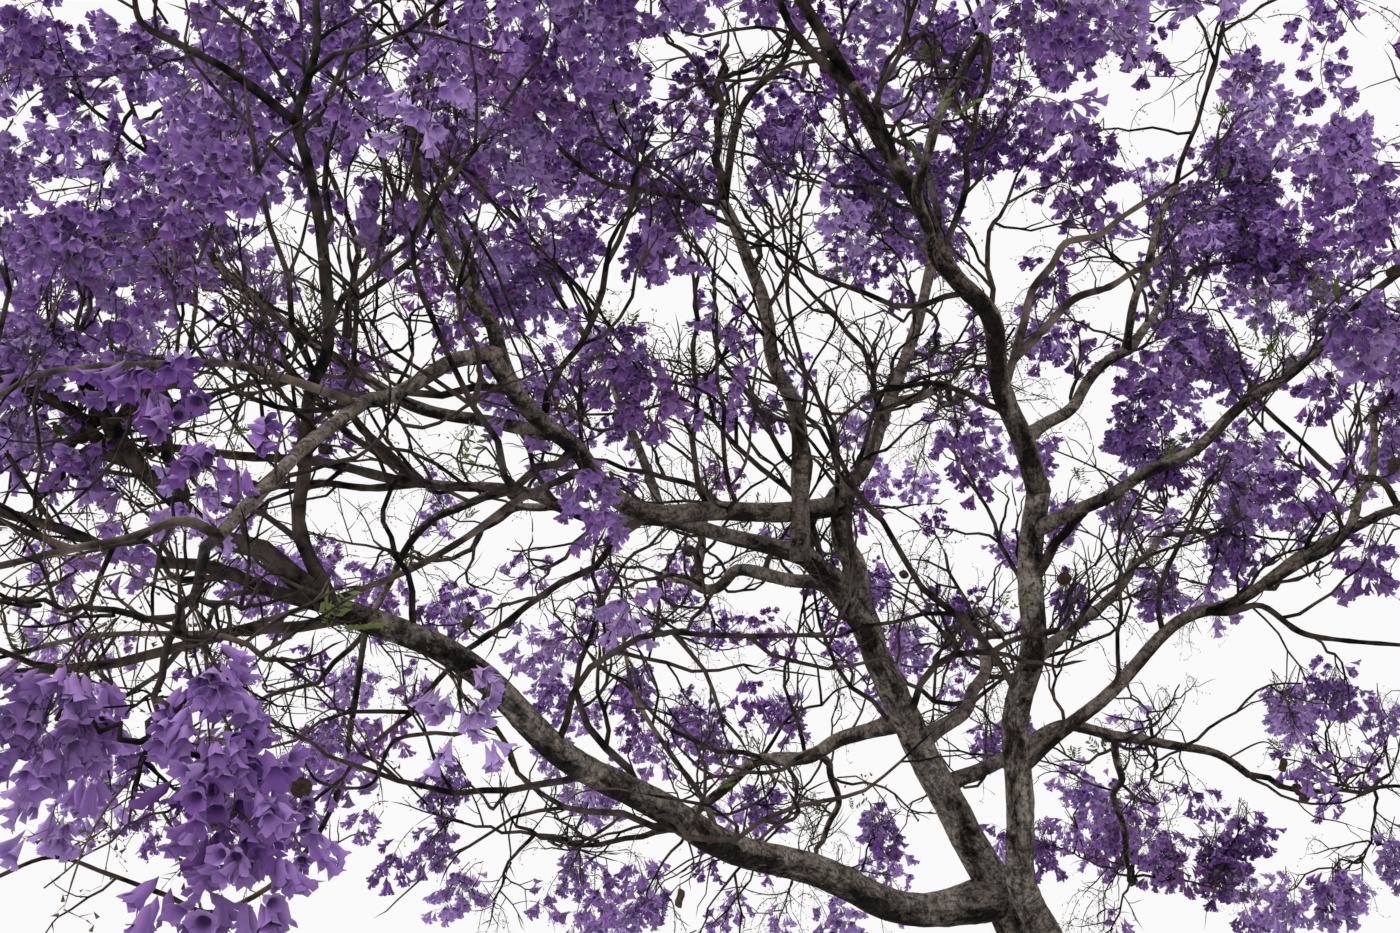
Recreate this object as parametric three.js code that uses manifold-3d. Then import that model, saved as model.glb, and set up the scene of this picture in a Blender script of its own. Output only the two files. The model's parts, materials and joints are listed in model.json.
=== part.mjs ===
// A jacaranda in full blossom, rooted in the ground: a leaning trunk with root flare, the boughs that fork
// from it, and the masses of blossom that the boughs carry. It is almost leafless, as in its flowering season.
// Millimetres, +Z up. The origin is the centre of the flat cut at ground level, under the trunk.

import * as THREE from 'three';
import { mergeVertices } from 'three/addons/utils/BufferGeometryUtils.js';
import Module from 'manifold-3d';

const wasm = await Module();
wasm.setup();

// Gaps and clearances
const CUT = 0.3; // kept between two limbs where one is cut to fit the other
const SEAT = 0.35; // between the flat end of a limb and what grows on from it
const LIMB_ROOM = 14; // between a spray and a limb that isn't its own
const MASS_ROOM = 22; // from a mass to the plane it shares with its neighbour

// Wood
const LIMB_SIDES = 8;
const TRUNK_SIDES = 16;
const TRUNK_CROWDING = 1.5; // the trunk's rings lie closer towards its flare
const RING_STEP = 300; // length of limb between two rings of its outline
const CROOK = 0.016; // a limb's wander, as a part of its length
const TRUNK_HEIGHT = 2550;
const FLARE = 78; // how far the root flare stands out of the trunk at the cut
const FLARE_FADE = 210; // height over which the flare fades
const BUTTRESSES = 5;
const BUTTRESS_DEPTH = 0.13;

// Blossom masses
const MASS_FLATNESS = 0.86; // height of a mass beside its width
const STEM_GIRTH = 0.92; // a stem's root beside the tip of its bough
const STEM_SIDES = 5;
const STEM_RUNS = 3; // straight runs of a stem
const ARMS = 4; // branches of a mass's stem
const ARM_SIDES = 3;
const ARM_RUNS = 2; // straight runs of an arm
const ARM_GIRTH = 0.62; // an arm's root beside the stem's
const ARM_REACH = 0.5; // this and the next two are parts of the mass's size
const SPRAY_LENGTH = 0.64;
const SPRAY_WIDTH = 0.58;
const SPRAY_WAIST = 0.58; // where a spray is widest, along its length
const SPRAY_SUNK = 0.08; // the part of a spray that is sunk in its arm
const SPRAY_SIDES = 4;
const SPRAYS_PER_ARM = 2;
const TWIG_WIDTH = 17;
const GOLDEN_ANGLE = Math.PI * (3 - Math.sqrt(5));

// Finishes
const BARK = new THREE.MeshStandardMaterial({ color: 0x5a4f49, roughness: 0.9, metalness: 0 });
const DEAD_WOOD = new THREE.MeshStandardMaterial({ color: 0x7a716a, roughness: 0.95, metalness: 0 });
const BLOSSOM = new THREE.MeshStandardMaterial({ color: 0x8a6fbe, roughness: 0.75, metalness: 0 });

const UP = new THREE.Vector3(0, 0, 1);

// Limbs, from the trunk outwards. Each leaves its parent at a fraction of the parent's length and runs along
// a bearing (degrees from +X towards +Y) for a level reach and a rise. Sag lifts or drops its middle, sway
// moves the middle to the left of its way, and bend is the fraction of its length where both are greatest.
const LIMBS = [
  { name: 'trunk', from: null, at: 0, bearing: 90, reach: 60, rise: TRUNK_HEIGHT, sag: 0, sway: 30, base: 250, tip: 172 },
  { name: 'leader', from: 'trunk', at: 1, bearing: 210, reach: 710, rise: 1080, sag: 20, sway: -60, bend: 0.35, base: 135, tip: 105 },
  { name: 'right_stem', from: 'trunk', at: 0.985, bearing: 262, reach: 980, rise: 1610, sag: -50, sway: -140, bend: 0.45, base: 104, tip: 82 },
  { name: 'long_bough', from: 'leader', at: 0.36, bearing: 218, reach: 2630, rise: 340, sag: -140, sway: -210, bend: 0.3, base: 120, tip: 70 },
  { name: 'centre_bough', from: 'leader', at: 1, bearing: 238, reach: 350, rise: 660, sag: 10, sway: -30, base: 94, tip: 78 },
  { name: 'left_fork', from: 'leader', at: 0.97, bearing: 228, reach: 550, rise: 390, sag: 90, sway: 10, base: 90, tip: 74 },
  { name: 'near_bough', from: 'centre_bough', at: 0.95, bearing: 232, reach: 1790, rise: -350, sag: -160, sway: -170, base: 74, tip: 50 },
  { name: 'upper_bough', from: 'centre_bough', at: 1, bearing: 14, reach: 530, rise: 1400, sag: -200, sway: 40, base: 64, tip: 40 },
  { name: 'left_bough', from: 'left_fork', at: 0.95, bearing: 169, reach: 1500, rise: 480, sag: 20, sway: 20, base: 60, tip: 36 },
  { name: 'high_bough', from: 'left_fork', at: 1, bearing: 228, reach: 390, rise: 1400, sag: -70, sway: 110, base: 66, tip: 44 },
  { name: 'right_crown', from: 'right_stem', at: 1, bearing: 238, reach: 1340, rise: 770, sag: -60, sway: 70, base: 78, tip: 48 },
  { name: 'near_left_bough', from: 'near_bough', at: 1, bearing: 242, reach: 790, rise: -960, sag: 90, sway: -60, base: 44, tip: 26 },
  { name: 'near_high_bough', from: 'near_bough', at: 0.92, bearing: 222, reach: 380, rise: 520, sag: -30, sway: 40, base: 40, tip: 28 },
  { name: 'near_out_bough', from: 'near_bough', at: 0.8, bearing: 172, reach: 1200, rise: 780, sag: -110, sway: -80, base: 42, tip: 28 },
  { name: 'back_left_bough', from: 'leader', at: 0.9, bearing: 114, reach: 2200, rise: 230, sag: 50, sway: 60, base: 62, tip: 38 },
  { name: 'back_high_bough', from: 'left_fork', at: 0.7, bearing: 109, reach: 2070, rise: 1030, sag: -40, sway: 150, base: 54, tip: 34 },
  { name: 'back_bough', from: 'leader', at: 0.82, bearing: 69, reach: 1900, rise: 1420, sag: 0, sway: -160, base: 58, tip: 36 },
  { name: 'right_low_bough', from: 'leader', at: 0.7, bearing: 40, reach: 2230, rise: 560, sag: 200, sway: -40, base: 54, tip: 34 },
  { name: 'right_bough', from: 'right_stem', at: 0.7, bearing: 49, reach: 1460, rise: 1120, sag: -20, sway: -10, base: 46, tip: 30 },
  { name: 'right_out_bough', from: 'right_stem', at: 0.5, bearing: 357, reach: 1560, rise: 1000, sag: 50, sway: -160, base: 50, tip: 34 },
  { name: 'front_right_bough', from: 'right_stem', at: 0.93, bearing: 329, reach: 1050, rise: 400, sag: -140, sway: -120, base: 44, tip: 32 },
  { name: 'right_high_bough', from: 'right_crown', at: 0.15, bearing: 35, reach: 1050, rise: 1130, sag: -50, sway: -40, base: 46, tip: 30 },
  { name: 'right_top_bough', from: 'right_high_bough', at: 0.55, bearing: 331, reach: 310, rise: 700, sag: -120, sway: -180, base: 32, tip: 24 },
  { name: 'right_up_bough', from: 'right_out_bough', at: 0.6, bearing: 20, reach: 770, rise: 910, sag: -140, sway: -160, base: 36, tip: 26 },
  { name: 'front_bough', from: 'right_crown', at: 0.6, bearing: 276, reach: 530, rise: 510, sag: -140, sway: -160, base: 40, tip: 28 },
  { name: 'left_low_bough', from: 'left_bough', at: 0.7, bearing: 146, reach: 800, rise: -380, sag: 140, sway: 90, base: 36, tip: 26 },
  { name: 'left_back_bough', from: 'left_bough', at: 0.5, bearing: 121, reach: 1360, rise: 510, sag: 100, sway: 80, base: 38, tip: 26 },
  { name: 'left_high_bough', from: 'left_bough', at: 0.35, bearing: 150, reach: 500, rise: 1180, sag: 90, sway: -40, base: 38, tip: 26 },
  { name: 'back_low_bough', from: 'back_left_bough', at: 0.45, bearing: 76, reach: 1260, rise: 20, sag: 160, sway: -160, base: 40, tip: 28 },
  { name: 'back_right_bough', from: 'right_low_bough', at: 0.45, bearing: 73, reach: 1390, rise: -160, sag: 160, sway: -20, base: 38, tip: 28 },
  { name: 'back_top_bough', from: 'back_high_bough', at: 0.6, bearing: 94, reach: 340, rise: 1050, sag: -120, sway: -60, base: 38, tip: 26 },
  { name: 'upper_back_bough', from: 'upper_bough', at: 0.5, bearing: 66, reach: 1360, rise: 860, sag: 30, sway: -140, base: 38, tip: 26 },
  { name: 'dead_stub', from: 'right_stem', at: 0.84, bearing: 300, reach: 310, rise: 150, sag: 30, sway: 10, base: 36, tip: 27 },
];

// Masses of blossom. Each grows from the tip of a bough, along a bearing and a climb (degrees), to a centre
// that is some way off, and fills a rounded space about that centre.
const MASSES = [
  { name: 'blossom_near_left_low', from: 'near_left_bough', bearing: 285, climb: -50, away: 520, size: 480 },
  { name: 'blossom_near_left', from: 'long_bough', bearing: 210, climb: 30, away: 910, size: 760 },
  { name: 'blossom_near_left_high', from: 'near_high_bough', bearing: 280, climb: 75, away: 640, size: 800 },
  { name: 'blossom_near_left_top', from: 'near_out_bough', bearing: 215, climb: 50, away: 660, size: 760 },
  { name: 'blossom_left_low', from: 'left_low_bough', bearing: 165, climb: -25, away: 700, size: 760 },
  { name: 'blossom_left', from: 'left_bough', bearing: 210, climb: 35, away: 880, size: 800 },
  { name: 'blossom_left_back', from: 'left_back_bough', bearing: 145, climb: 15, away: 720, size: 800 },
  { name: 'blossom_left_high', from: 'left_high_bough', bearing: 190, climb: 65, away: 770, size: 760 },
  { name: 'blossom_back_left', from: 'back_left_bough', bearing: 165, climb: 0, away: 840, size: 800 },
  { name: 'blossom_back_low', from: 'back_low_bough', bearing: 95, climb: 8, away: 760, size: 720 },
  { name: 'blossom_back_high', from: 'back_high_bough', bearing: 95, climb: 0, away: 860, size: 800 },
  { name: 'blossom_back_top', from: 'back_top_bough', bearing: 115, climb: 55, away: 680, size: 800 },
  { name: 'blossom_back', from: 'back_bough', bearing: 90, climb: 5, away: 900, size: 800 },
  { name: 'blossom_back_right', from: 'back_right_bough', bearing: 70, climb: 10, away: 680, size: 780 },
  { name: 'blossom_upper_back', from: 'upper_back_bough', bearing: 85, climb: 35, away: 790, size: 800 },
  { name: 'blossom_right_low', from: 'right_low_bough', bearing: 15, climb: 0, away: 810, size: 800 },
  { name: 'blossom_right_mid', from: 'right_bough', bearing: 45, climb: 20, away: 830, size: 760 },
  { name: 'blossom_right_out', from: 'right_out_bough', bearing: 350, climb: -25, away: 770, size: 740 },
  { name: 'blossom_right_up', from: 'right_up_bough', bearing: 0, climb: 25, away: 680, size: 760 },
  { name: 'blossom_right_high', from: 'right_high_bough', bearing: 50, climb: 40, away: 1010, size: 800 },
  { name: 'blossom_front_right', from: 'front_right_bough', bearing: 320, climb: 30, away: 840, size: 800 },
  { name: 'blossom_right_top', from: 'right_top_bough', bearing: 295, climb: 50, away: 780, size: 760 },
  { name: 'blossom_front', from: 'front_bough', bearing: 285, climb: 10, away: 640, size: 760 },
  { name: 'blossom_near_top', from: 'right_crown', bearing: 210, climb: 60, away: 1000, size: 700 },
  { name: 'blossom_high', from: 'high_bough', bearing: 325, climb: 88, away: 810, size: 800 },
  { name: 'blossom_top', from: 'upper_bough', bearing: 105, climb: 70, away: 1130, size: 800 },
];

// A repeatable run of numbers from 0 to 1 for each limb and mass
function seeded(seed) {
  let state = seed >>> 0;
  return () => {
    state = (Math.imul(1664525, state) + 1013904223) >>> 0;
    return state / 4294967296;
  };
}

function heading(bearing, climb = 0) {
  const b = THREE.MathUtils.degToRad(bearing);
  const c = THREE.MathUtils.degToRad(climb);
  return new THREE.Vector3(Math.cos(b) * Math.cos(c), Math.sin(b) * Math.cos(c), Math.sin(c));
}

// The middle line of a limb: a straight reach and rise, bowed by its sag and sway, with a slight wander
class LimbCurve extends THREE.Curve {
  constructor(limb, start, seed) {
    super();
    this.limb = limb;
    this.start = start;
    this.along = heading(limb.bearing).multiplyScalar(limb.reach).addScaledVector(UP, limb.rise);
    this.side = heading(limb.bearing + 90);
    const random = seeded(seed);
    for (let i = 0; i < 4; i++) random();
    this.phases = [random(), random(), random(), random()].map((x) => 2 * Math.PI * x);
    this.wander = CROOK * this.along.length() * (limb.from ? 1 : 0.5);
  }

  getPoint(u, target = new THREE.Vector3()) {
    const { sag, sway, bend = 0.5 } = this.limb;
    const skew = (1 - bend) / bend;
    const bow = (u * (1 - u) ** skew) / (bend * (1 - bend) ** skew);
    const [a, b, c, d] = this.phases;
    const level = Math.sin(Math.PI * u) * this.wander;
    const across = level * (Math.sin(9.4 * u + a) + 0.6 * Math.sin(20.1 * u + b));
    const lift = level * (Math.sin(10.7 * u + c) + 0.6 * Math.sin(18.2 * u + d));
    return target
      .copy(this.start)
      .addScaledVector(this.along, u)
      .addScaledVector(this.side, bow * sway + across)
      .addScaledVector(UP, bow * sag + lift);
  }

  widthAt(u) {
    return this.limb.base + (this.limb.tip - this.limb.base) * u;
  }
}

// A curve as a coarse solid follows it: straight runs between points on it, so that what grows from the line
// is rooted in the solid
class Runs extends THREE.Curve {
  constructor(curve, count) {
    super();
    this.points = Array.from({ length: count + 1 }, (_, i) => curve.getPoint(i / count));
  }

  getPoint(u, target = new THREE.Vector3()) {
    const last = this.points.length - 2;
    const run = Math.min(Math.floor(u * (last + 1)), last);
    return target.copy(this.points[run]).lerp(this.points[run + 1], u * (last + 1) - run);
  }
}

// Closed solids from three.js geometries
function toSolid(geometry) {
  geometry.deleteAttribute('normal');
  geometry.deleteAttribute('uv');
  const merged = mergeVertices(geometry, 1e-3);
  return new wasm.Manifold(new wasm.Mesh({
    numProp: 3,
    vertProperties: new Float32Array(merged.attributes.position.array),
    triVerts: new Uint32Array(merged.index.array),
  }));
}

function toGeometry(solid) {
  const { vertProperties, triVerts } = solid.getMesh();
  const geometry = new THREE.BufferGeometry();
  geometry.setAttribute('position', new THREE.BufferAttribute(vertProperties, 3));
  geometry.setIndex(new THREE.BufferAttribute(triVerts, 1));
  geometry.computeVertexNormals();
  return geometry;
}

// The largest body of a solid: loose scraps are dropped and sealed hollows are filled
function largestBody(solid) {
  return solid.decompose().reduce((best, body) => (body.volume() > best.volume() ? body : best));
}

// A cylinder bent along a curve. The width is a function of the fraction of the way along and of the angle.
// The first ring can face along a given normal, both ends can run on past the curve, and a crowding over 1
// brings the rings closer together towards the first.
function bentCylinder(curve, width, sides, rings, { firstNormal = null, overrun = 0, crowding = 1 } = {}) {
  const geometry = new THREE.CylinderGeometry(1, 1, 1, sides, rings);
  const position = geometry.attributes.position;
  const chord = curve.getPoint(1).sub(curve.getPoint(0)).normalize();
  const across = Math.abs(chord.z) < 0.8 ? UP : new THREE.Vector3(1, 0, 0);
  const frames = Array.from({ length: rings + 1 }, (_, i) => {
    const u = (i / rings) ** crowding;
    const tangent = i === 0 && firstNormal ? firstNormal.clone() : curve.getTangent(u);
    const binormal = across.clone().cross(tangent).normalize();
    const normal = tangent.clone().cross(binormal).normalize();
    const past = overrun * (i === 0 ? -1 : Number(i === rings));
    return { u, point: curve.getPoint(u).addScaledVector(tangent, past), normal, binormal };
  });
  for (let i = 0; i < position.count; i++) {
    const { u, point, normal, binormal } = frames[Math.round((position.getY(i) + 0.5) * rings)];
    const x = position.getX(i);
    const z = position.getZ(i);
    const radius = width(u, Math.atan2(z, x)) / 2;
    const moved = point.clone().addScaledVector(normal, x * radius).addScaledVector(binormal, z * radius);
    position.setXYZ(i, moved.x, moved.y, moved.z);
  }
  return toSolid(geometry);
}

// The trunk's outline: taper, and at its foot the flare with its buttresses
function trunkWidth(curve, swell) {
  return (u, angle) => {
    const fade = Math.exp((-u * TRUNK_HEIGHT) / FLARE_FADE);
    const lobes = 1 + BUTTRESS_DEPTH * fade * Math.cos(BUTTRESSES * angle + 0.7);
    return (curve.widthAt(u) + 2 * FLARE * fade) * lobes + swell;
  };
}

const limbs = new Map();

// A limb's solid, or with a margin the space that other limbs are kept out of
function limbSolid(limb, curve, firstNormal, margin = 0) {
  const rings = Math.max(3, Math.round(curve.along.length() / RING_STEP));
  const swell = 2 * margin;
  if (!limb.from) {
    const ends = { firstNormal: UP, overrun: margin, crowding: TRUNK_CROWDING };
    return bentCylinder(curve, trunkWidth(curve, swell), TRUNK_SIDES, rings, ends);
  }
  return bentCylinder(curve, (u) => curve.widthAt(u) + swell, LIMB_SIDES, rings, { firstNormal, overrun: margin });
}

function growLimb(limb, index) {
  const parent = limbs.get(limb.from);
  const start = new THREE.Vector3();
  let firstNormal = null;
  if (parent) {
    parent.curve.getPoint(limb.at, start);
    if (limb.at === 1) {
      firstNormal = parent.curve.getTangent(1);
      start.addScaledVector(firstNormal, SEAT);
    }
  }
  const curve = new LimbCurve(limb, start, 1000 + index);
  let solid = limbSolid(limb, curve, firstNormal);
  for (const other of limbs.values()) {
    if (touching(solid, other.swollen)) solid = solid.subtract(other.swollen);
  }
  const swollen = limbSolid(limb, curve, firstNormal, CUT);
  const samples = Array.from({ length: 25 }, (_, i) => {
    return { point: curve.getPoint(i / 24), radius: curve.widthAt(i / 24) / 2 };
  });
  limbs.set(limb.name, { curve, swollen, samples, solid: largestBody(solid) });
}

function touching(a, b) {
  const boxA = a.boundingBox();
  const boxB = b.boundingBox();
  return [0, 1, 2].every((k) => boxA.min[k] < boxB.max[k] + 1 && boxB.min[k] < boxA.max[k] + 1);
}

// The clear distance from a point to the nearest limb
const segment = new THREE.Line3();
const nearest = new THREE.Vector3();

function clearOfLimbs(point) {
  let clear = Infinity;
  for (const { samples } of limbs.values()) {
    for (let i = 1; i < samples.length; i++) {
      segment.set(samples[i - 1].point, samples[i].point);
      segment.closestPointToPoint(point, true, nearest);
      clear = Math.min(clear, nearest.distanceTo(point) - samples[i - 1].radius);
    }
  }
  return clear;
}

// A mass's own space: a flattened ball, cut by the planes that it shares with its neighbours
class Space {
  constructor(centre, size) {
    this.centre = centre;
    this.size = size;
    this.walls = [];
  }

  meet(other) {
    const way = other.centre.clone().sub(this.centre);
    const distance = way.length();
    if (distance > this.size + other.size) return;
    const share = (distance * this.size) / (this.size + other.size);
    this.walls.push({ way: way.normalize(), limit: share - MASS_ROOM });
  }

  holds(point, room = 0) {
    const offset = point.clone().sub(this.centre);
    if (this.walls.some(({ way, limit }) => offset.dot(way) > limit - room)) return false;
    offset.z /= MASS_FLATNESS;
    return offset.length() <= this.size - room;
  }
}

// Directions spread evenly over a ball
function spread(count, turn) {
  return Array.from({ length: count }, (_, i) => {
    const height = 1 - (2 * i + 1) / count;
    const level = Math.sqrt(1 - height * height);
    const angle = turn + i * GOLDEN_ANGLE;
    return new THREE.Vector3(level * Math.cos(angle), level * Math.sin(angle), height);
  });
}

// A spray of blossom: a cluster with a few flat faces that widens from its root and closes at its tip
function sprayFrom(root, way, length, width, random) {
  const geometry = new THREE.SphereGeometry(1, SPRAY_SIDES, 2);
  geometry.deleteAttribute('normal');
  geometry.deleteAttribute('uv');
  const cluster = mergeVertices(geometry, 1e-3);
  const position = cluster.attributes.position;
  const turn = new THREE.Quaternion().setFromUnitVectors(new THREE.Vector3(0, 1, 0), way);
  const corners = [];
  for (let i = 0; i < position.count; i++) {
    const corner = new THREE.Vector3().fromBufferAttribute(position, i);
    const onRim = Math.abs(corner.y) < 0.5;
    const along = onRim ? SPRAY_WAIST + 0.26 * (random() - 0.5) : (corner.y + 1) / 2;
    const out = (0.5 * width * (onRim ? 0.8 + 0.4 * random() : 0)) || 0;
    corner.set(corner.x * out, (along - SPRAY_SUNK) * length, corner.z * out).applyQuaternion(turn).add(root);
    position.setXYZ(i, corner.x, corner.y, corner.z);
    if (onRim || along > 0.5) corners.push(corner);
  }
  return { geometry: cluster, corners, root, way, length, width };
}

function sprayFits(spray, space) {
  if (!spray.corners.every((corner) => space.holds(corner))) return false;
  return [0.25, 0.45, 0.6, 0.75, 0.9].every((u) => {
    const point = spray.root.clone().addScaledVector(spray.way, u * spray.length);
    const radius = 0.58 * spray.width * (u < SPRAY_WAIST ? u / SPRAY_WAIST : (1 - u) / (1 - SPRAY_WAIST));
    return clearOfLimbs(point) > radius + LIMB_ROOM;
  });
}

function twigFits(curve, width, space) {
  for (let i = 0; i <= 10; i++) {
    const point = curve.getPoint(i / 10);
    if (!space.holds(point, width / 2) || clearOfLimbs(point) < width / 2 + LIMB_ROOM) return false;
  }
  return true;
}

// A twig's middle line: it leaves its parent along the parent's own way and then turns towards its end
function twigTowards(parent, from, end) {
  const start = parent.getPoint(from);
  const length = start.distanceTo(end);
  const knee = start.clone().lerp(end, 0.5).addScaledVector(parent.getTangent(from), 0.18 * length);
  return new Runs(new THREE.QuadraticBezierCurve3(start, knee, end), ARM_RUNS);
}

// The stem of a mass: it carries on from the tip of its bough and turns up into the middle of the space
function stemOf(mass, space) {
  const bough = limbs.get(mass.from).curve;
  const way = bough.getTangent(1);
  const foot = bough.getPoint(1).addScaledVector(way, SEAT);
  const reach = space.centre.distanceTo(foot);
  const head = space.centre.clone().addScaledVector(UP, 0.1 * mass.size);
  const first = foot.clone().addScaledVector(way, 0.35 * reach);
  const second = head.clone().addScaledVector(UP, -0.15 * reach);
  return new Runs(new THREE.CubicBezierCurve3(foot, first, second, head), STEM_RUNS);
}

// One mass: a stem from its bough's tip, arms from the stem, and sprays of blossom from the arms
function growMass(mass, index, space) {
  const random = seeded(5000 + index);
  const stem = stemOf(mass, space);
  const bough = limbs.get(mass.from).curve;
  const stemWidth = STEM_GIRTH * bough.limb.tip;
  const ends = { firstNormal: bough.getTangent(1) };
  const pieces = [bentCylinder(stem, (u) => stemWidth * (1 - 0.5 * u), STEM_SIDES, STEM_RUNS, ends)];
  spread(ARMS, 2 * Math.PI * random()).forEach((direction, i) => {
    const aim = new THREE.Vector3(direction.x, direction.y, direction.z * MASS_FLATNESS);
    const arm = growArm(stem, 0.45 + (0.5 * i) / ARMS, aim, mass, space);
    if (!arm) return;
    const width = stemWidth * ARM_GIRTH;
    pieces.push(bentCylinder(arm, (u) => width * (1 - 0.4 * u), ARM_SIDES, ARM_RUNS));
    pieces.push(...growSprays(arm, mass, space, random));
  });
  return largestBody(wasm.Manifold.union(pieces));
}

// An arm of the stem, drawn in towards the middle of the space until it keeps clear of every limb
function growArm(stem, from, aim, mass, space) {
  for (const reach of [ARM_REACH, 0.8 * ARM_REACH, 0.6 * ARM_REACH]) {
    const end = space.centre.clone().addScaledVector(aim, reach * mass.size);
    const arm = twigTowards(stem, from, end);
    if (twigFits(arm, TWIG_WIDTH, space)) return arm;
  }
  return null;
}

// The sprays of one arm: one at its end and the rest round its sides, each pointing out of the mass
function growSprays(arm, mass, space, random) {
  const solids = [];
  const turn = 2 * Math.PI * random();
  for (let i = 0; i < SPRAYS_PER_ARM; i++) {
    const u = 0.97 - (0.72 * i) / SPRAYS_PER_ARM;
    const root = arm.getPoint(u);
    const tangent = arm.getTangent(u);
    const out = root.clone().sub(space.centre).normalize();
    const side = tangent.clone().cross(UP).normalize().applyAxisAngle(tangent, turn + GOLDEN_ANGLE * i);
    const way = i === 0 ? tangent.lerp(out, 0.5).normalize() : out.multiplyScalar(0.7).add(side).normalize();
    const vary = 0.88 + 0.24 * random();
    for (const share of [1, 0.82, 0.66]) {
      const length = SPRAY_LENGTH * mass.size * vary * share;
      const spray = sprayFrom(root, way, length, SPRAY_WIDTH * mass.size * share, random);
      if (!sprayFits(spray, space)) continue;
      solids.push(toSolid(spray.geometry));
      break;
    }
  }
  return solids;
}

const tree = new THREE.Group();

function addNode(name, solid, material) {
  const mesh = new THREE.Mesh(toGeometry(solid), material.clone());
  mesh.name = name;
  tree.add(mesh);
}

LIMBS.forEach((limb, index) => {
  growLimb(limb, index);
  addNode(limb.name, limbs.get(limb.name).solid, limb.name === 'dead_stub' ? DEAD_WOOD : BARK);
});

const spaces = MASSES.map((mass) => {
  const centre = limbs.get(mass.from).curve.getPoint(1);
  return new Space(centre.addScaledVector(heading(mass.bearing, mass.climb), mass.away), mass.size);
});
spaces.forEach((space) => spaces.forEach((other) => other !== space && space.meet(other)));
MASSES.forEach((mass, index) => addNode(mass.name, growMass(mass, index, spaces[index]), BLOSSOM));

export default tree;
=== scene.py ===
"""A jacaranda in full blossom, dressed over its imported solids.

The trunk and boughs get bark with relief. The blossom masses grow again by the rule that shaped their
solids and carry on to finer twigs, which hold hanging panicles of trumpet flowers. Bare crooked shoots, spent
panicles, woody pods and a few young leaves stand among them. Metres, +Z up, with the origin at the centre of
the flat cut at ground level.
"""

import json
import logging
import math
from collections.abc import Iterable, Sequence
from dataclasses import dataclass, field
from enum import Enum, IntEnum
from typing import TypeVar

import bmesh
import bpy
import numpy as np
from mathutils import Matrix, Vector, noise

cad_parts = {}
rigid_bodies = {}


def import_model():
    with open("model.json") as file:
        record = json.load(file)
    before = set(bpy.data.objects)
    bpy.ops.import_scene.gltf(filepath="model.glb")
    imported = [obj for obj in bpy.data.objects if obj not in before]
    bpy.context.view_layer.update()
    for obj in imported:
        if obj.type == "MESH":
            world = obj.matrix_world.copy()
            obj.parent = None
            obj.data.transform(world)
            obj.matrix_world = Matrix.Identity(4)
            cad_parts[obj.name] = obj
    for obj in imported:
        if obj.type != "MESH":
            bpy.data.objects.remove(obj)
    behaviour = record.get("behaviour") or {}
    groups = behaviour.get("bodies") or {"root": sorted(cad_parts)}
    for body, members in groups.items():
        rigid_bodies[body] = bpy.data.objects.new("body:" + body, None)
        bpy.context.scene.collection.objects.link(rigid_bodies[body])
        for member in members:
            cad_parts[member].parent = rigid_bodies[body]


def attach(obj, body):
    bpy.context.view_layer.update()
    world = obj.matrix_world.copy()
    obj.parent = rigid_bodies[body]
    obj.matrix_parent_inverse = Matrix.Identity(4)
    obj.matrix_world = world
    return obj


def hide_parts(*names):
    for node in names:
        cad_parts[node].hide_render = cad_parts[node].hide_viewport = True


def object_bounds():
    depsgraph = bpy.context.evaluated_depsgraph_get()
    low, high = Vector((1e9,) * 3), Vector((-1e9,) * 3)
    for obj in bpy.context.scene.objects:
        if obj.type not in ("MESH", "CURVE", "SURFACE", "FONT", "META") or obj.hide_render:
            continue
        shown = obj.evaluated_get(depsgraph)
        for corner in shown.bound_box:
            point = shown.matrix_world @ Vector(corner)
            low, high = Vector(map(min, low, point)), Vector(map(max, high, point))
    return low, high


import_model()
solid_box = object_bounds()

log = logging.getLogger("jacaranda")

BODY = "root"
UP = np.array([0.0, 0.0, 1.0])
ACROSS = np.array([1.0, 0.0, 0.0])
GOLDEN_ANGLE = math.pi * (3 - math.sqrt(5))
BARK_PLACE = "bark_place"  # point attribute: where a point lies on its limb, as if the limb were straight
SOOT_AND_SHADE_BELOW = "underside"  # point attribute: how far a point's side of its limb faces the ground, from 0 to 1, which the bark turns into soot and painted shade below

# The rule's own sizes, as in the source of the solids
SEAT = 0.00035
LIMB_ROOM = 0.014
MASS_ROOM = 0.022
CROOK = 0.016
TRUNK_HEIGHT = 2.55
FLARE = 0.078
FLARE_FADE = 0.21
BUTTRESSES = 5
BUTTRESS_DEPTH = 0.13
MASS_FLATNESS = 0.86
STEM_GIRTH = 0.92
STEM_RUNS = 3
ARMS = 4
ARM_RUNS = 2
ARM_GIRTH = 0.62
ARM_REACHES = (0.5, 0.4, 0.3)
SPRAY_LENGTH = 0.64
SPRAY_WIDTH = 0.58
SPRAY_WAIST = 0.58
SPRAY_SUNK = 0.08
SPRAYS_PER_ARM = 2
TWIG_WIDTH = 0.017

STEEP = 0.8  # the upward share of a line's way past which its rings are measured from ACROSS, not from UP
END_ON = 0.9  # a limb that leaves its parent past this fraction carries on from its end
DEAD_LIMB = "dead_stub"
OLD_FROM = 0.085  # the width at its foot from which a limb has old bark, in metres
TINY = 1e-9  # keeps a divisor above 0

Colour = tuple[float, ...]
Rows = np.ndarray  # a point or a way, or one row for each of many
Socket = bpy.types.NodeSocket
Form = TypeVar("Form")


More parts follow.
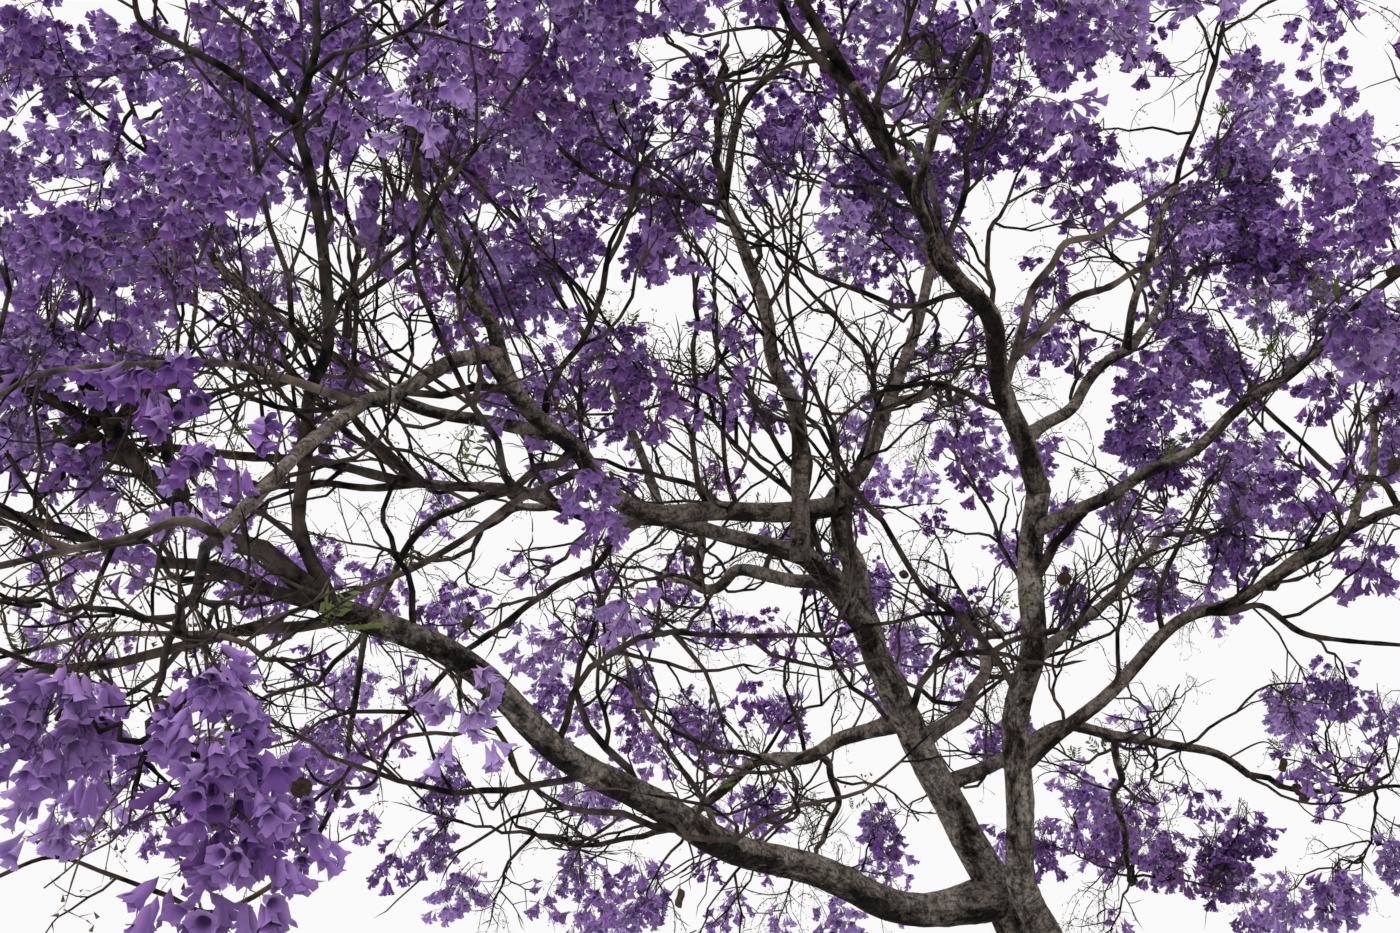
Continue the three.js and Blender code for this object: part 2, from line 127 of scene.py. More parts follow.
class Seed(IntEnum):
    """Where the runs of numbers of each kind of form start. A form adds its own number."""

    FLOWER = 300
    FINE_FLOWER = 400
    POD = 500
    SPRIG = 600
    PANICLE = 900
    LIMB = 1000
    MASS = 5000
    FURTHER_SPRAYS = 7000
    MASS_DRESS = 9000
    SHOOTS = 12000
    BUNCH = 15000
    LEAD = 17000


@dataclass(frozen=True)
class Limb:
    """A limb: where it leaves its parent, how it runs and how thick it is."""

    name: str
    parent: str | None
    at: float  # the fraction of its parent's length where it leaves it
    bearing: float  # degrees from +X towards +Y
    reach: float  # how far it runs level and rises, in metres
    rise: float
    sag: float  # how far it bows up and to its side, in metres
    sway: float
    base: float  # its widths at its foot and at its tip, in metres
    tip: float
    bend: float = 0.5  # the fraction of its length where it bows most


@dataclass(frozen=True)
class Mass:
    """A blossom mass: the bough that carries it, and where its space lies beyond the bough's tip."""

    name: str
    bough: str
    bearing: float  # the way from the tip to the space's middle, in degrees from +X and above the level
    climb: float
    away: float  # the distance from the tip to that middle, and the space's radius, in metres
    size: float
    bloom: float = 0.6  # the share of its sprays that are in flower


LIMBS = (
    Limb("trunk", None, 0, 90, 0.06, TRUNK_HEIGHT, 0.0, 0.03, 0.25, 0.172),
    Limb("leader", "trunk", 1, 210, 0.71, 1.08, 0.02, -0.06, 0.135, 0.105, bend=0.35),
    Limb("right_stem", "trunk", 0.985, 262, 0.98, 1.61, -0.05, -0.14, 0.104, 0.082, bend=0.45),
    Limb("long_bough", "leader", 0.36, 218, 2.63, 0.34, -0.14, -0.21, 0.12, 0.07, bend=0.3),
    Limb("centre_bough", "leader", 1, 238, 0.35, 0.66, 0.01, -0.03, 0.094, 0.078),
    Limb("left_fork", "leader", 0.97, 228, 0.55, 0.39, 0.09, 0.01, 0.09, 0.074),
    Limb("near_bough", "centre_bough", 0.95, 232, 1.79, -0.35, -0.16, -0.17, 0.074, 0.05),
    Limb("upper_bough", "centre_bough", 1, 14, 0.53, 1.4, -0.2, 0.04, 0.064, 0.04),
    Limb("left_bough", "left_fork", 0.95, 169, 1.5, 0.48, 0.02, 0.02, 0.06, 0.036),
    Limb("high_bough", "left_fork", 1, 228, 0.39, 1.4, -0.07, 0.11, 0.066, 0.044),
    Limb("right_crown", "right_stem", 1, 238, 1.34, 0.77, -0.06, 0.07, 0.078, 0.048),
    Limb("near_left_bough", "near_bough", 1, 242, 0.79, -0.96, 0.09, -0.06, 0.044, 0.026),
    Limb("near_high_bough", "near_bough", 0.92, 222, 0.38, 0.52, -0.03, 0.04, 0.04, 0.028),
    Limb("near_out_bough", "near_bough", 0.8, 172, 1.2, 0.78, -0.11, -0.08, 0.042, 0.028),
    Limb("back_left_bough", "leader", 0.9, 114, 2.2, 0.23, 0.05, 0.06, 0.062, 0.038),
    Limb("back_high_bough", "left_fork", 0.7, 109, 2.07, 1.03, -0.04, 0.15, 0.054, 0.034),
    Limb("back_bough", "leader", 0.82, 69, 1.9, 1.42, 0.0, -0.16, 0.058, 0.036),
    Limb("right_low_bough", "leader", 0.7, 40, 2.23, 0.56, 0.2, -0.04, 0.054, 0.034),
    Limb("right_bough", "right_stem", 0.7, 49, 1.46, 1.12, -0.02, -0.01, 0.046, 0.03),
    Limb("right_out_bough", "right_stem", 0.5, 357, 1.56, 1.0, 0.05, -0.16, 0.05, 0.034),
    Limb("front_right_bough", "right_stem", 0.93, 329, 1.05, 0.4, -0.14, -0.12, 0.044, 0.032),
    Limb("right_high_bough", "right_crown", 0.15, 35, 1.05, 1.13, -0.05, -0.04, 0.046, 0.03),
    Limb("right_top_bough", "right_high_bough", 0.55, 331, 0.31, 0.7, -0.12, -0.18, 0.032, 0.024),
    Limb("right_up_bough", "right_out_bough", 0.6, 20, 0.77, 0.91, -0.14, -0.16, 0.036, 0.026),
    Limb("front_bough", "right_crown", 0.6, 276, 0.53, 0.51, -0.14, -0.16, 0.04, 0.028),
    Limb("left_low_bough", "left_bough", 0.7, 146, 0.8, -0.38, 0.14, 0.09, 0.036, 0.026),
    Limb("left_back_bough", "left_bough", 0.5, 121, 1.36, 0.51, 0.1, 0.08, 0.038, 0.026),
    Limb("left_high_bough", "left_bough", 0.35, 150, 0.5, 1.18, 0.09, -0.04, 0.038, 0.026),
    Limb("back_low_bough", "back_left_bough", 0.45, 76, 1.26, 0.02, 0.16, -0.16, 0.04, 0.028),
    Limb("back_right_bough", "right_low_bough", 0.45, 73, 1.39, -0.16, 0.16, -0.02, 0.038, 0.028),
    Limb("back_top_bough", "back_high_bough", 0.6, 94, 0.34, 1.05, -0.12, -0.06, 0.038, 0.026),
    Limb("upper_back_bough", "upper_bough", 0.5, 66, 1.36, 0.86, 0.03, -0.14, 0.038, 0.026),
    Limb("dead_stub", "right_stem", 0.84, 300, 0.31, 0.15, 0.03, 0.01, 0.036, 0.027),
)

MASSES = (
    Mass("near_left_low", "near_left_bough", 285, -50, 0.52, 0.48, bloom=0.16),
    Mass("near_left", "long_bough", 210, 30, 0.91, 0.76, bloom=0.3),
    Mass("near_left_high", "near_high_bough", 280, 75, 0.64, 0.8, bloom=0.6),
    Mass("near_left_top", "near_out_bough", 215, 50, 0.66, 0.76, bloom=0.7),
    Mass("left_low", "left_low_bough", 165, -25, 0.7, 0.76, bloom=0.6),
    Mass("left", "left_bough", 210, 35, 0.88, 0.8, bloom=0.55),
    Mass("left_back", "left_back_bough", 145, 15, 0.72, 0.8, bloom=0.7),
    Mass("left_high", "left_high_bough", 190, 65, 0.77, 0.76, bloom=0.75),
    Mass("back_left", "back_left_bough", 165, 0, 0.84, 0.8, bloom=0.6),
    Mass("back_low", "back_low_bough", 95, 8, 0.76, 0.72, bloom=0.45),
    Mass("back_high", "back_high_bough", 95, 0, 0.86, 0.8, bloom=0.5),
    Mass("back_top", "back_top_bough", 115, 55, 0.68, 0.8, bloom=0.65),
    Mass("back", "back_bough", 90, 5, 0.9, 0.8, bloom=0.45),
    Mass("back_right", "back_right_bough", 70, 10, 0.68, 0.78, bloom=0.4),
    Mass("upper_back", "upper_back_bough", 85, 35, 0.79, 0.8, bloom=0.5),
    Mass("right_low", "right_low_bough", 15, 0, 0.81, 0.8, bloom=0.5),
    Mass("right_mid", "right_bough", 45, 20, 0.83, 0.76, bloom=0.45),
    Mass("right_out", "right_out_bough", 350, -25, 0.77, 0.74, bloom=0.6),
    Mass("right_up", "right_up_bough", 0, 25, 0.68, 0.76, bloom=0.45),
    Mass("right_high", "right_high_bough", 50, 40, 1.01, 0.8, bloom=0.45),
    Mass("front_right", "front_right_bough", 320, 30, 0.84, 0.8, bloom=0.35),
    Mass("right_top", "right_top_bough", 295, 50, 0.78, 0.76, bloom=0.35),
    Mass("front", "front_bough", 285, 10, 0.64, 0.76, bloom=0.45),
    Mass("near_top", "right_crown", 210, 60, 1.0, 0.7, bloom=0.45),
    Mass("high", "high_bough", 325, 88, 0.81, 0.8, bloom=0.5),
    Mass("top", "upper_bough", 105, 70, 1.13, 0.8, bloom=0.55),
)


@dataclass(frozen=True)
class View:
    """The photograph's view: where the eye is, and how the picture's frame lies on the scene."""

    eye: tuple[float, float, float] = (-1.32, -5.10, 1.60)
    look_up: float = 32.0
    width: float = 1400.0
    height: float = 933.0
    lens: float = 36.0
    sensor: float = 36.0
    nearest: float = 0.01  # the depth at which anything nearer is measured, in metres

    def axes(self) -> tuple[Rows, Rows, Rows]:
        """The picture's right, its up and the way that the eye looks."""
        lift = math.radians(self.look_up)
        upward = np.array([0.0, -math.sin(lift), math.cos(lift)])
        forward = np.array([0.0, math.cos(lift), math.sin(lift)])
        return ACROSS, upward, forward

    def seen(self, point: Rows) -> tuple[float, float, float]:
        """Where a point falls in the picture, in its pixels, and how deep it lies in metres."""
        right, upward, forward = self.axes()
        offset = point - np.array(self.eye)
        depth = float(offset @ forward)
        scale = self.pixels_at(max(self.nearest, depth))
        x = self.width / 2 + scale * float(offset @ right)
        y = self.height / 2 - scale * float(offset @ upward)
        return x, y, depth

    def distance(self, point: Rows) -> float:
        """How far a point is from the eye, in metres."""
        return float(np.linalg.norm(point - np.array(self.eye)))

    def pixels_at(self, depth: float) -> float:
        """How many of the picture's pixels a metre covers at a depth."""
        return self.width * self.lens / self.sensor / depth

    def place(self, x: float, y: float, depth: float) -> Rows:
        """The point that a pixel of the picture shows at a depth."""
        right, upward, forward = self.axes()
        across = (x - self.width / 2) / self.pixels_at(depth)
        down = (y - self.height / 2) / self.pixels_at(depth)
        return np.array(self.eye) + forward * depth + right * across - upward * down


@dataclass(frozen=True)
class SkyGap:
    """A patch of open sky in the picture: its middle and its half width and height, in pixels."""

    x: float
    y: float
    wide: float
    high: float

    def covers(self, x: float, y: float) -> bool:
        """Whether a place in the picture lies in the gap."""
        return ((x - self.x) / self.wide) ** 2 + ((y - self.y) / self.high) ** 2 < 1


@dataclass(frozen=True)
class Bunch:
    """A bunch of blossom that stands out in the picture: its mass, and its middle and radius in pixels."""

    mass: str
    x: float
    y: float
    radius: float


def bunches_of(mass: str, *places: tuple[float, float, float]) -> list[Bunch]:
    """The bunches of one mass, from the middle and radius of each."""
    return [Bunch(mass, x, y, radius) for x, y, radius in places]


VIEW = View()

SKY_GAPS = tuple(SkyGap(*sizes) for sizes in (
    (1168, 105, 48, 75), (1290, 425, 45, 32), (1330, 632, 110, 42), (1170, 640, 62, 38), (1230, 735, 58, 52),
    (1135, 225, 20, 60), (1205, 425, 28, 20), (660, 850, 62, 26), (820, 880, 36, 42), (945, 870, 34, 50),
    (905, 775, 40, 30), (1060, 690, 50, 30), (700, 668, 60, 26), (560, 545, 30, 26), (450, 390, 38, 34),
    (640, 270, 40, 30), (1010, 250, 40, 50), (980, 530, 36, 40), (740, 600, 44, 26), (385, 805, 26, 34),
    (1395, 600, 60, 40), (1280, 815, 26, 26), (1180, 500, 22, 30), (900, 440, 30, 34), (760, 460, 30, 24),
    (340, 560, 24, 24), (745, 40, 62, 40), (1245, 28, 56, 34), (1372, 52, 44, 40), (240, 400, 60, 34),
    (420, 430, 24, 30), (330, 500, 66, 44), (250, 470, 50, 34), (420, 560, 44, 40), (650, 40, 34, 34),
    (1360, 620, 60, 30), (125, 895, 70, 55), (300, 905, 46, 44), (1110, 285, 44, 30), (1130, 400, 30, 20),
    (255, 655, 40, 30),
))

BUNCHES = (
    *bunches_of("right_high", (1190, 215, 50), (1240, 232, 56), (1298, 262, 46), (1225, 160, 36),
        (1262, 190, 44), (1190, 350, 40), (1228, 368, 34)),
    *bunches_of("right_mid", (1135, 440, 40), (1120, 520, 30), (1240, 510, 36), (1155, 585, 28)),
    *bunches_of("right_up", (1355, 150, 42), (1372, 215, 28), (1320, 290, 28), (1385, 330, 26),
        (1380, 450, 28)),
    *bunches_of("right_out", (1345, 540, 28)),
    *bunches_of("right_low", (1285, 712, 32), (1335, 700, 34), (1385, 718, 20), (1345, 895, 36),
        (1290, 905, 26), (1390, 860, 28)),
    *bunches_of("back_right", (1085, 790, 26), (1120, 835, 30), (1165, 872, 34), (1215, 862, 38),
        (1250, 838, 26), (1040, 855, 24)),
    *bunches_of("right_top", (1090, 150, 34), (1060, 60, 32)),
    *bunches_of("top", (970, 70, 38), (985, 145, 38), (870, 205, 30), (790, 140, 34)),
    *bunches_of("back", (950, 615, 26), (990, 735, 22), (880, 590, 22)),
    *bunches_of("back_low", (770, 808, 22), (882, 838, 26), (780, 715, 22), (715, 738, 24)),
    *bunches_of("back_high", (635, 690, 24), (690, 715, 20)),
    *bunches_of("near_left_high", (640, 390, 40), (505, 405, 32)),
    *bunches_of("left_high", (590, 130, 40)),
    *bunches_of("high", (655, 215, 34)),
    *bunches_of("back_left", (330, 745, 30), (440, 790, 30), (440, 850, 26), (465, 905, 26),
        (545, 750, 22), (590, 800, 26), (575, 865, 22)),
    *bunches_of("back_low", (655, 905, 26), (610, 920, 24)),
    *bunches_of("left_low", (40, 560, 36), (30, 650, 40), (40, 905, 34), (30, 600, 32)),
    *bunches_of("left_back", (320, 560, 30)),
    *bunches_of("left_high", (350, 50, 44), (330, 120, 36), (545, 265, 36), (500, 300, 30)),
    *bunches_of("near_left_top", (40, 70, 60)),
    *bunches_of("near_left_low", (205, 732, 54), (50, 742, 48), (240, 795, 32)),
    *bunches_of("right_high", (1168, 325, 28), (1172, 272, 28), (1265, 258, 42)),
    *bunches_of("right_mid", (1158, 398, 32), (1172, 465, 32), (1240, 556, 32)),
    *bunches_of("right_out", (1370, 562, 26)),
    *bunches_of("right_top", (1132, 45, 28)),
    *bunches_of("near_left_high", (622, 372, 40), (530, 422, 36), (588, 505, 30)),
    *bunches_of("right_high", (1250, 62, 20)),
    *bunches_of("top", (945, 38, 38), (862, 165, 32), (932, 175, 32), (940, 232, 24)),
    *bunches_of("high", (650, 252, 32)),
    *bunches_of("left_back", (262, 338, 28), (348, 375, 24)),
    *bunches_of("left", (455, 335, 24)),
    *bunches_of("near_left", (230, 160, 46), (190, 280, 50), (60, 250, 60), (115, 385, 38),
        (40, 345, 66), (30, 430, 46), (80, 472, 32)),
    *bunches_of("right_mid", (1066, 606, 26), (1036, 452, 24), (1060, 520, 24)),
    *bunches_of("back", (1012, 556, 20), (905, 645, 20)),
    *bunches_of("back_high", (550, 690, 24)),
)


@dataclass(frozen=True)
class Lead:
    """A shoot that stands out in the picture: the limb or lead it leaves, and the pixels it passes."""

    name: str
    parent: str
    width: float  # at its foot, in metres
    nearer: float  # how much nearer to the eye than its foot it ends, in metres
    path: tuple[tuple[float, float], ...]
    pod: bool = False
    pale: bool = False  # whether it has the paler copy of the twig bark, painted light for the shoots in full light
    bushy: float = 1.0  # how stout its side shoots are, as a share of the usual


LEADS = (
    Lead("upright", "long_bough", 0.042, 0.1, ((283, 592), (300, 532), (305, 466), (310, 393), (328, 343),
         (322, 241), (308, 165), (297, 123), (305, 88), (316, 49), (316, 0))),
    Lead("upright_fork", "upright", 0.026, 0.3, ((297, 123), (234, 74), (179, 44), (141, 22), (133, -20))),
    Lead("left_reach", "near_left_bough", 0.025, 0.3, ((351, 399), (332, 394), (249, 368), (199, 363),
         (56, 371), (0, 395)), pale=True),
    Lead("low_reach", "near_bough", 0.026, 0.7, ((590, 465), (520, 499), (464, 539), (398, 575), (298, 610),
         (216, 632), (99, 635), (10, 655)), pale=True),
    Lead("left_rise", "left_bough", 0.036, 0.2, ((422, 483), (391, 456), (350, 410), (345, 340), (355, 270),
         (357, 245), (335, 185), (318, 150))),
    Lead("left_rise_fork", "left_rise", 0.028, 0.3, ((357, 245), (390, 240), (396, 208), (393, 186),
         (368, 129), (347, 90), (322, 63), (330, 16))),
    Lead("left_rise_arc", "left_rise", 0.026, 0.4, ((352, 300), (371, 290), (418, 255), (434, 225),
         (456, 178), (456, 123), (449, 55), (453, -10))),
    Lead("left_rise_twig", "left_rise_fork", 0.02, 0.1, ((396, 208), (407, 186), (421, 137), (429, 90),
         (425, 30))),
    Lead("high_reach", "high_bough", 0.024, 0.4, ((724, 204), (640, 190), (600, 180), (560, 148), (525, 104),
         (481, 66), (410, 47), (369, 19))),
    Lead("high_rise", "high_bough", 0.036, 0.1, ((724, 204), (735, 130), (750, 95), (783, 62), (792, 20),
         (775, -20))),
    Lead("crown_rise", "right_crown", 0.038, 0.1, ((852, 87), (815, 55), (790, 25), (772, -20))),
    Lead("right_reach", "right_out_bough", 0.03, 0.2, ((1200, 612), (1230, 612), (1262, 606), (1300, 632),
         (1340, 640), (1400, 645))),
    Lead("low_left", "left_low_bough", 0.026, 1.2, ((365, 633), (352, 720), (335, 800), (290, 870),
         (217, 912), (163, 894), (108, 874), (52, 857), (-10, 880))),
    Lead("slant", "long_bough", 0.022, 0.0, ((721, 838), (704, 801), (670, 753), (637, 700), (625, 650),
         (622, 600)), pale=True),
    Lead("hanging_twig", "long_bough", 0.015, 0.4, ((480, 690), (466, 730), (430, 733), (393, 742),
         (374, 781), (350, 788), (318, 781), (305, 764)), pod=True),
    Lead("near_reach", "near_left_bough", 0.024, 0.1, ((219, 536), (190, 522), (166, 524), (134, 537),
         (72, 549), (0, 566), (-30, 572)), pale=True),
    Lead("near_reach_fork", "near_reach", 0.016, 0.05, ((72, 549), (40, 537), (0, 520),
         (-30, 505)), pale=True),
    Lead("long_reach", "long_bough", 0.044, 0.1, ((336, 609), (268, 590), (214, 568), (134, 558), (67, 531),
         (0, 512), (-30, 500))),
    Lead("left_bough_reach", "left_bough", 0.042, 0.7, ((422, 483), (388, 478), (321, 462), (241, 456),
         (171, 448), (128, 452), (100, 436), (66, 412))),
    Lead("left_bough_low", "left_bough", 0.032, 0.4, ((422, 483), (370, 488), (321, 483), (262, 486),
         (204, 467), (150, 476), (96, 470))),
    Lead("left_edge_reach", "left_bough_reach", 0.026, 0.1, ((100, 436), (67, 432), (30, 442), (0, 459),
         (-30, 462))),
    Lead("sky_reach", "right_crown", 0.032, 0.2, ((988, 402), (1013, 360), (1024, 323), (1032, 291),
         (1053, 264), (1066, 243), (1098, 235), (1122, 217), (1164, 190)), pale=True, bushy=0.45),
    Lead("sky_reach_fork", "sky_reach", 0.03, 0.1, ((1013, 360), (1045, 328), (1074, 299), (1109, 287),
         (1133, 272), (1154, 264), (1162, 254)), pale=True, bushy=0.45),
    Lead("right_sky_reach", "right_out_bough", 0.028, 0.1, ((1399, 509), (1380, 480), (1340, 475),
         (1300, 440), (1264, 407), (1248, 380)), bushy=0.45),
    Lead("pod_twig", "long_bough", 0.008, 0.1, ((702, 838), (697, 866), (680, 878)), pod=True),
    Lead("far_pod_twig", "right_low_bough", 0.01, 0.1, ((1225, 765), (1262, 742), (1280, 752)), pod=True),
)


class Dice:
    """A repeatable run of numbers from 0 to 1, by the same sum as the source of the solids."""

    FACTOR = 1664525
    STEP = 1013904223
    SPAN = 2**32

    def __init__(self, seed: int) -> None:
        """Starts the run at a seed."""
        self.state = seed % self.SPAN

    def roll(self) -> float:
        """The next number from 0 to 1."""
        self.state = (self.FACTOR * self.state + self.STEP) % self.SPAN
        return self.state / self.SPAN

    def between(self, low: float, high: float) -> float:
        """The next number, spread from low to high."""
        return low + (high - low) * self.roll()

    def pick(self, forms: Sequence[Form]) -> Form:
        """One of some forms, each as likely as the others."""
        return forms[int(self.roll() * len(forms)) % len(forms)]

    def way(self) -> Rows:
        """A direction with no preference, of length 1."""
        height = self.between(-1, 1)
        angle = self.between(0, 2 * math.pi)
        level = math.sqrt(1 - height * height)
        return np.array([level * math.cos(angle), level * math.sin(angle), height])


def unit(vector: Rows) -> Rows:
    """A vector, or each row of an array of them, at length 1."""
    return vector / np.linalg.norm(vector, axis=-1, keepdims=True)


def heading(bearing: float, climb: float = 0.0) -> Rows:
    """The direction of a bearing from +X towards +Y and a climb above the level, both in degrees."""
    b = math.radians(bearing)
    c = math.radians(climb)
    return np.array([math.cos(b) * math.cos(c), math.sin(b) * math.cos(c), math.sin(c)])


def turned(vector: Rows, axis: Rows, angle: float) -> Rows:
    """A vector turned about a unit axis by an angle in radians."""
    cross = np.cross(axis, vector)
    along = axis * np.dot(axis, vector)
    return vector * math.cos(angle) + cross * math.sin(angle) + along * (1 - math.cos(angle))


def aside(way: Rows, slant: float = 0.3) -> Rows:
    """A direction square to a way, and to an axis that slants up from +X."""
    return unit(np.cross(way, ACROSS + slant * UP))


def end_way(line: Rows) -> Rows:
    """The way that a line of points ends."""
    return unit(line[-1] - line[-2])


def about_up(angle: float) -> Rows:
    """The matrix of a turn about the upright axis, by an angle in radians."""
    c = math.cos(angle)
    s = math.sin(angle)
    return np.array([[c, -s, 0], [s, c, 0], [0, 0, 1]])


def turn_onto(start: Rows, end: Rows) -> Rows:
    """The matrix of the shortest turn from one unit vector to another.

    Args:
        start: The direction to turn from.
        end: The direction to turn to.

    Returns:
        A 3 by 3 matrix for column vectors.
    """
    x, y, z = np.cross(start, end)
    skew = np.array([[0, -z, y], [z, 0, -x], [-y, x, 0]])
    return np.eye(3) + skew + skew @ skew / max(TINY, 1 + float(np.dot(start, end)))


def srgb(red: int, green: int, blue: int) -> Colour:
    """A colour given from 0 to 255 in sRGB, as the linear colour that a shader takes."""
    parts = [c / 255 for c in (red, green, blue)]
    linear = [c / 12.92 if c <= 0.04045 else ((c + 0.055) / 1.055) ** 2.4 for c in parts]
    return (*linear, 1.0)


def scaled(colour: Colour, factor: float) -> Colour:
    """A colour made paler or darker by a factor."""
    return tuple(min(1.0, c * factor) for c in colour[:3]) + (1.0,)


class Curve:
    """A middle line that is read at fractions from 0 to 1."""

    STEP = 1e-4

    def point(self, u: float | Rows) -> Rows:
        """The point at a fraction, or one row for each fraction."""
        raise NotImplementedError

    def tangent(self, u: float) -> Rows:
        """The direction of the line at a fraction."""
        return unit(self.point(min(1.0, u + self.STEP)) - self.point(max(0.0, u - self.STEP)))


class LimbCurve(Curve):
    """A limb's middle line: a straight reach and rise, bowed by its sag and sway, with a slight wander."""

    SKIPPED = 4  # the first numbers of its run, left out as in the source of the solids
    WAVES = (9.4, 20.1, 10.7, 18.2)  # of its wander: two to its side and two up, in radians along it
    SECOND_WAVE = 0.6  # the height of each second wave, as a share of the first

    def __init__(self, limb: Limb, start: Rows, seed: int) -> None:
        """Places the line.

        Args:
            limb: The limb it belongs to.
            start: Where it leaves its parent.
            seed: The seed of its wander.
        """
        self.limb = limb
        self.start = start
        self.along = heading(limb.bearing) * limb.reach + UP * limb.rise
        self.side = heading(limb.bearing + 90)
        self.length = float(np.linalg.norm(self.along))
        dice = Dice(seed)
        for _ in range(self.SKIPPED):
            dice.roll()
        self.phases = [2 * math.pi * dice.roll() for _ in range(4)]
        self.wander = CROOK * self.length * (1.0 if limb.parent else 0.5)

    def point(self, u: float | Rows) -> Rows:
        """The point at a fraction, or one row for each fraction."""
        limb = self.limb
        skew = (1 - limb.bend) / limb.bend
        rest = np.maximum(0.0, 1 - np.asarray(u, float))
        bow = u * rest**skew / (limb.bend * (1 - limb.bend) ** skew)
        a, b, c, d = (np.sin(wave * u + phase) for wave, phase in zip(self.WAVES, self.phases))
        level = np.sin(np.pi * np.asarray(u, float)) * self.wander
        across = level * (a + self.SECOND_WAVE * b)
        lift = level * (c + self.SECOND_WAVE * d)
        place = np.multiply.outer(np.asarray(u, float), self.along) + self.start
        place = place + np.multiply.outer(bow * limb.sway + across, self.side)
        return place + np.multiply.outer(bow * limb.sag + lift, UP)

    def width(self, u: float) -> float:
        """The limb's width at a fraction, without its flare."""
        return self.limb.base + (self.limb.tip - self.limb.base) * u


class BezierCurve(Curve):
    """A line that runs from its first handle to its last and leans towards those between."""

    def __init__(self, *handles: Rows) -> None:
        """Takes three or four handles."""
        self.handles = handles

    def point(self, u: float | Rows) -> Rows:
        """The point at a fraction, or one row for each fraction."""
        u = np.asarray(u, float)
        last = len(self.handles) - 1
        weights = [math.comb(last, k) * u**k * (1 - u) ** (last - k) for k in range(last + 1)]
        return sum(np.multiply.outer(w, handle) for w, handle in zip(weights, self.handles))


def rounded(points: Rows, steps: int = 6) -> Rows:
    """A smooth line through points.

    Args:
        points: The points to pass, one row each.
        steps: How many steps it takes from each point to the next.

    Returns:
        The points of the smooth line.
    """
    padded = np.concatenate([[2 * points[0] - points[1]], points, [2 * points[-1] - points[-2]]])
    made = []
    for before, start, end, after in zip(padded, padded[1:], padded[2:], padded[3:]):
        for t in np.arange(steps) / steps:
            lean = (end - before) * t + (2 * before - 5 * start + 4 * end - after) * t**2
            made.append(start + (lean + (3 * start - before - 3 * end + after) * t**3) / 2)
    return np.array([*made, points[-1]])


class Runs(Curve):
    """A line as a coarse solid follows it: straight runs between points of a smoother line."""

    def __init__(self, line: Curve, count: int) -> None:
        """Takes the smoother line and the number of runs."""
        self.points = line.point(np.linspace(0, 1, count + 1))

    def point(self, u: float | Rows) -> Rows:
        """The point at a fraction, or one row for each fraction."""
        runs = len(self.points) - 1
        place = np.asarray(u, float) * runs
        run = np.minimum(place.astype(int), runs - 1)
        share = (place - run)[..., None]
        return self.points[run] * (1 - share) + self.points[run + 1] * share


class Skeleton:
    """The middle lines of all limbs, and how clear a place is of them."""

    SAMPLES = 24

    def __init__(self, limbs: Sequence[Limb]) -> None:
        """Places every limb on its parent."""
        self.curves: dict[str, LimbCurve] = {}
        for index, limb in enumerate(limbs):
            self.curves[limb.name] = LimbCurve(limb, self._start(limb), Seed.LIMB + index)
        fractions = np.linspace(0, 1, self.SAMPLES + 1)
        lines = [curve.point(fractions) for curve in self.curves.values()]
        widths = [curve.width(fractions) for curve in self.curves.values()]
        self.from_points = np.concatenate([line[:-1] for line in lines])
        self.to_points = np.concatenate([line[1:] for line in lines])
        self.radii = np.concatenate([width[:-1] / 2 for width in widths])

    def _start(self, limb: Limb) -> Rows:
        """Where a limb leaves its parent."""
        if limb.parent is None:
            return np.zeros(3)
        parent = self.curves[limb.parent]
        start = parent.point(limb.at)
        return start + parent.tangent(1.0) * SEAT if limb.at == 1 else start

    def clearance(self, points: Rows) -> Rows:
        """The clear distance from each point to the nearest limb.

        Args:
            points: One row for each point.

        Returns:
            A distance for each point, below 0 inside a limb.
        """
        span = self.to_points - self.from_points
        offset = points[:, None, :] - self.from_points[None]
        share = np.sum(offset * span, axis=2) / np.maximum(TINY, np.sum(span * span, axis=1))
        near = offset - np.clip(share, 0, 1)[..., None] * span
        return np.min(np.linalg.norm(near, axis=2) - self.radii, axis=1)


class LimbsInView:
    """Where the limbs lie in the picture, so that blossom leaves in view what the picture shows of them."""

    SAMPLES = 50
    NEAREST = 0.3  # metres from the eye; limbs nearer than this aren't marked

    def __init__(self, skeleton: Skeleton) -> None:
        """Marks points along every limb, each with its place, its depth and its half width in the picture."""
        marks = []
        for curve in skeleton.curves.values():
            for u in np.linspace(0, 1, self.SAMPLES):
                x, y, depth = VIEW.seen(curve.point(u))
                if depth > self.NEAREST:
                    marks.append((x, y, depth, curve.width(u) / 2 * VIEW.pixels_at(depth)))
        self.marks = np.array(marks)

    def hidden_by(self, x: float, y: float, depth: float, radius: float) -> bool:
        """Whether something round at a place in the picture would hide a part of a limb behind it."""
        away = np.hypot(self.marks[:, 0] - x, self.marks[:, 1] - y)
        return bool(np.any((self.marks[:, 2] > depth) & (away < radius + self.marks[:, 3])))


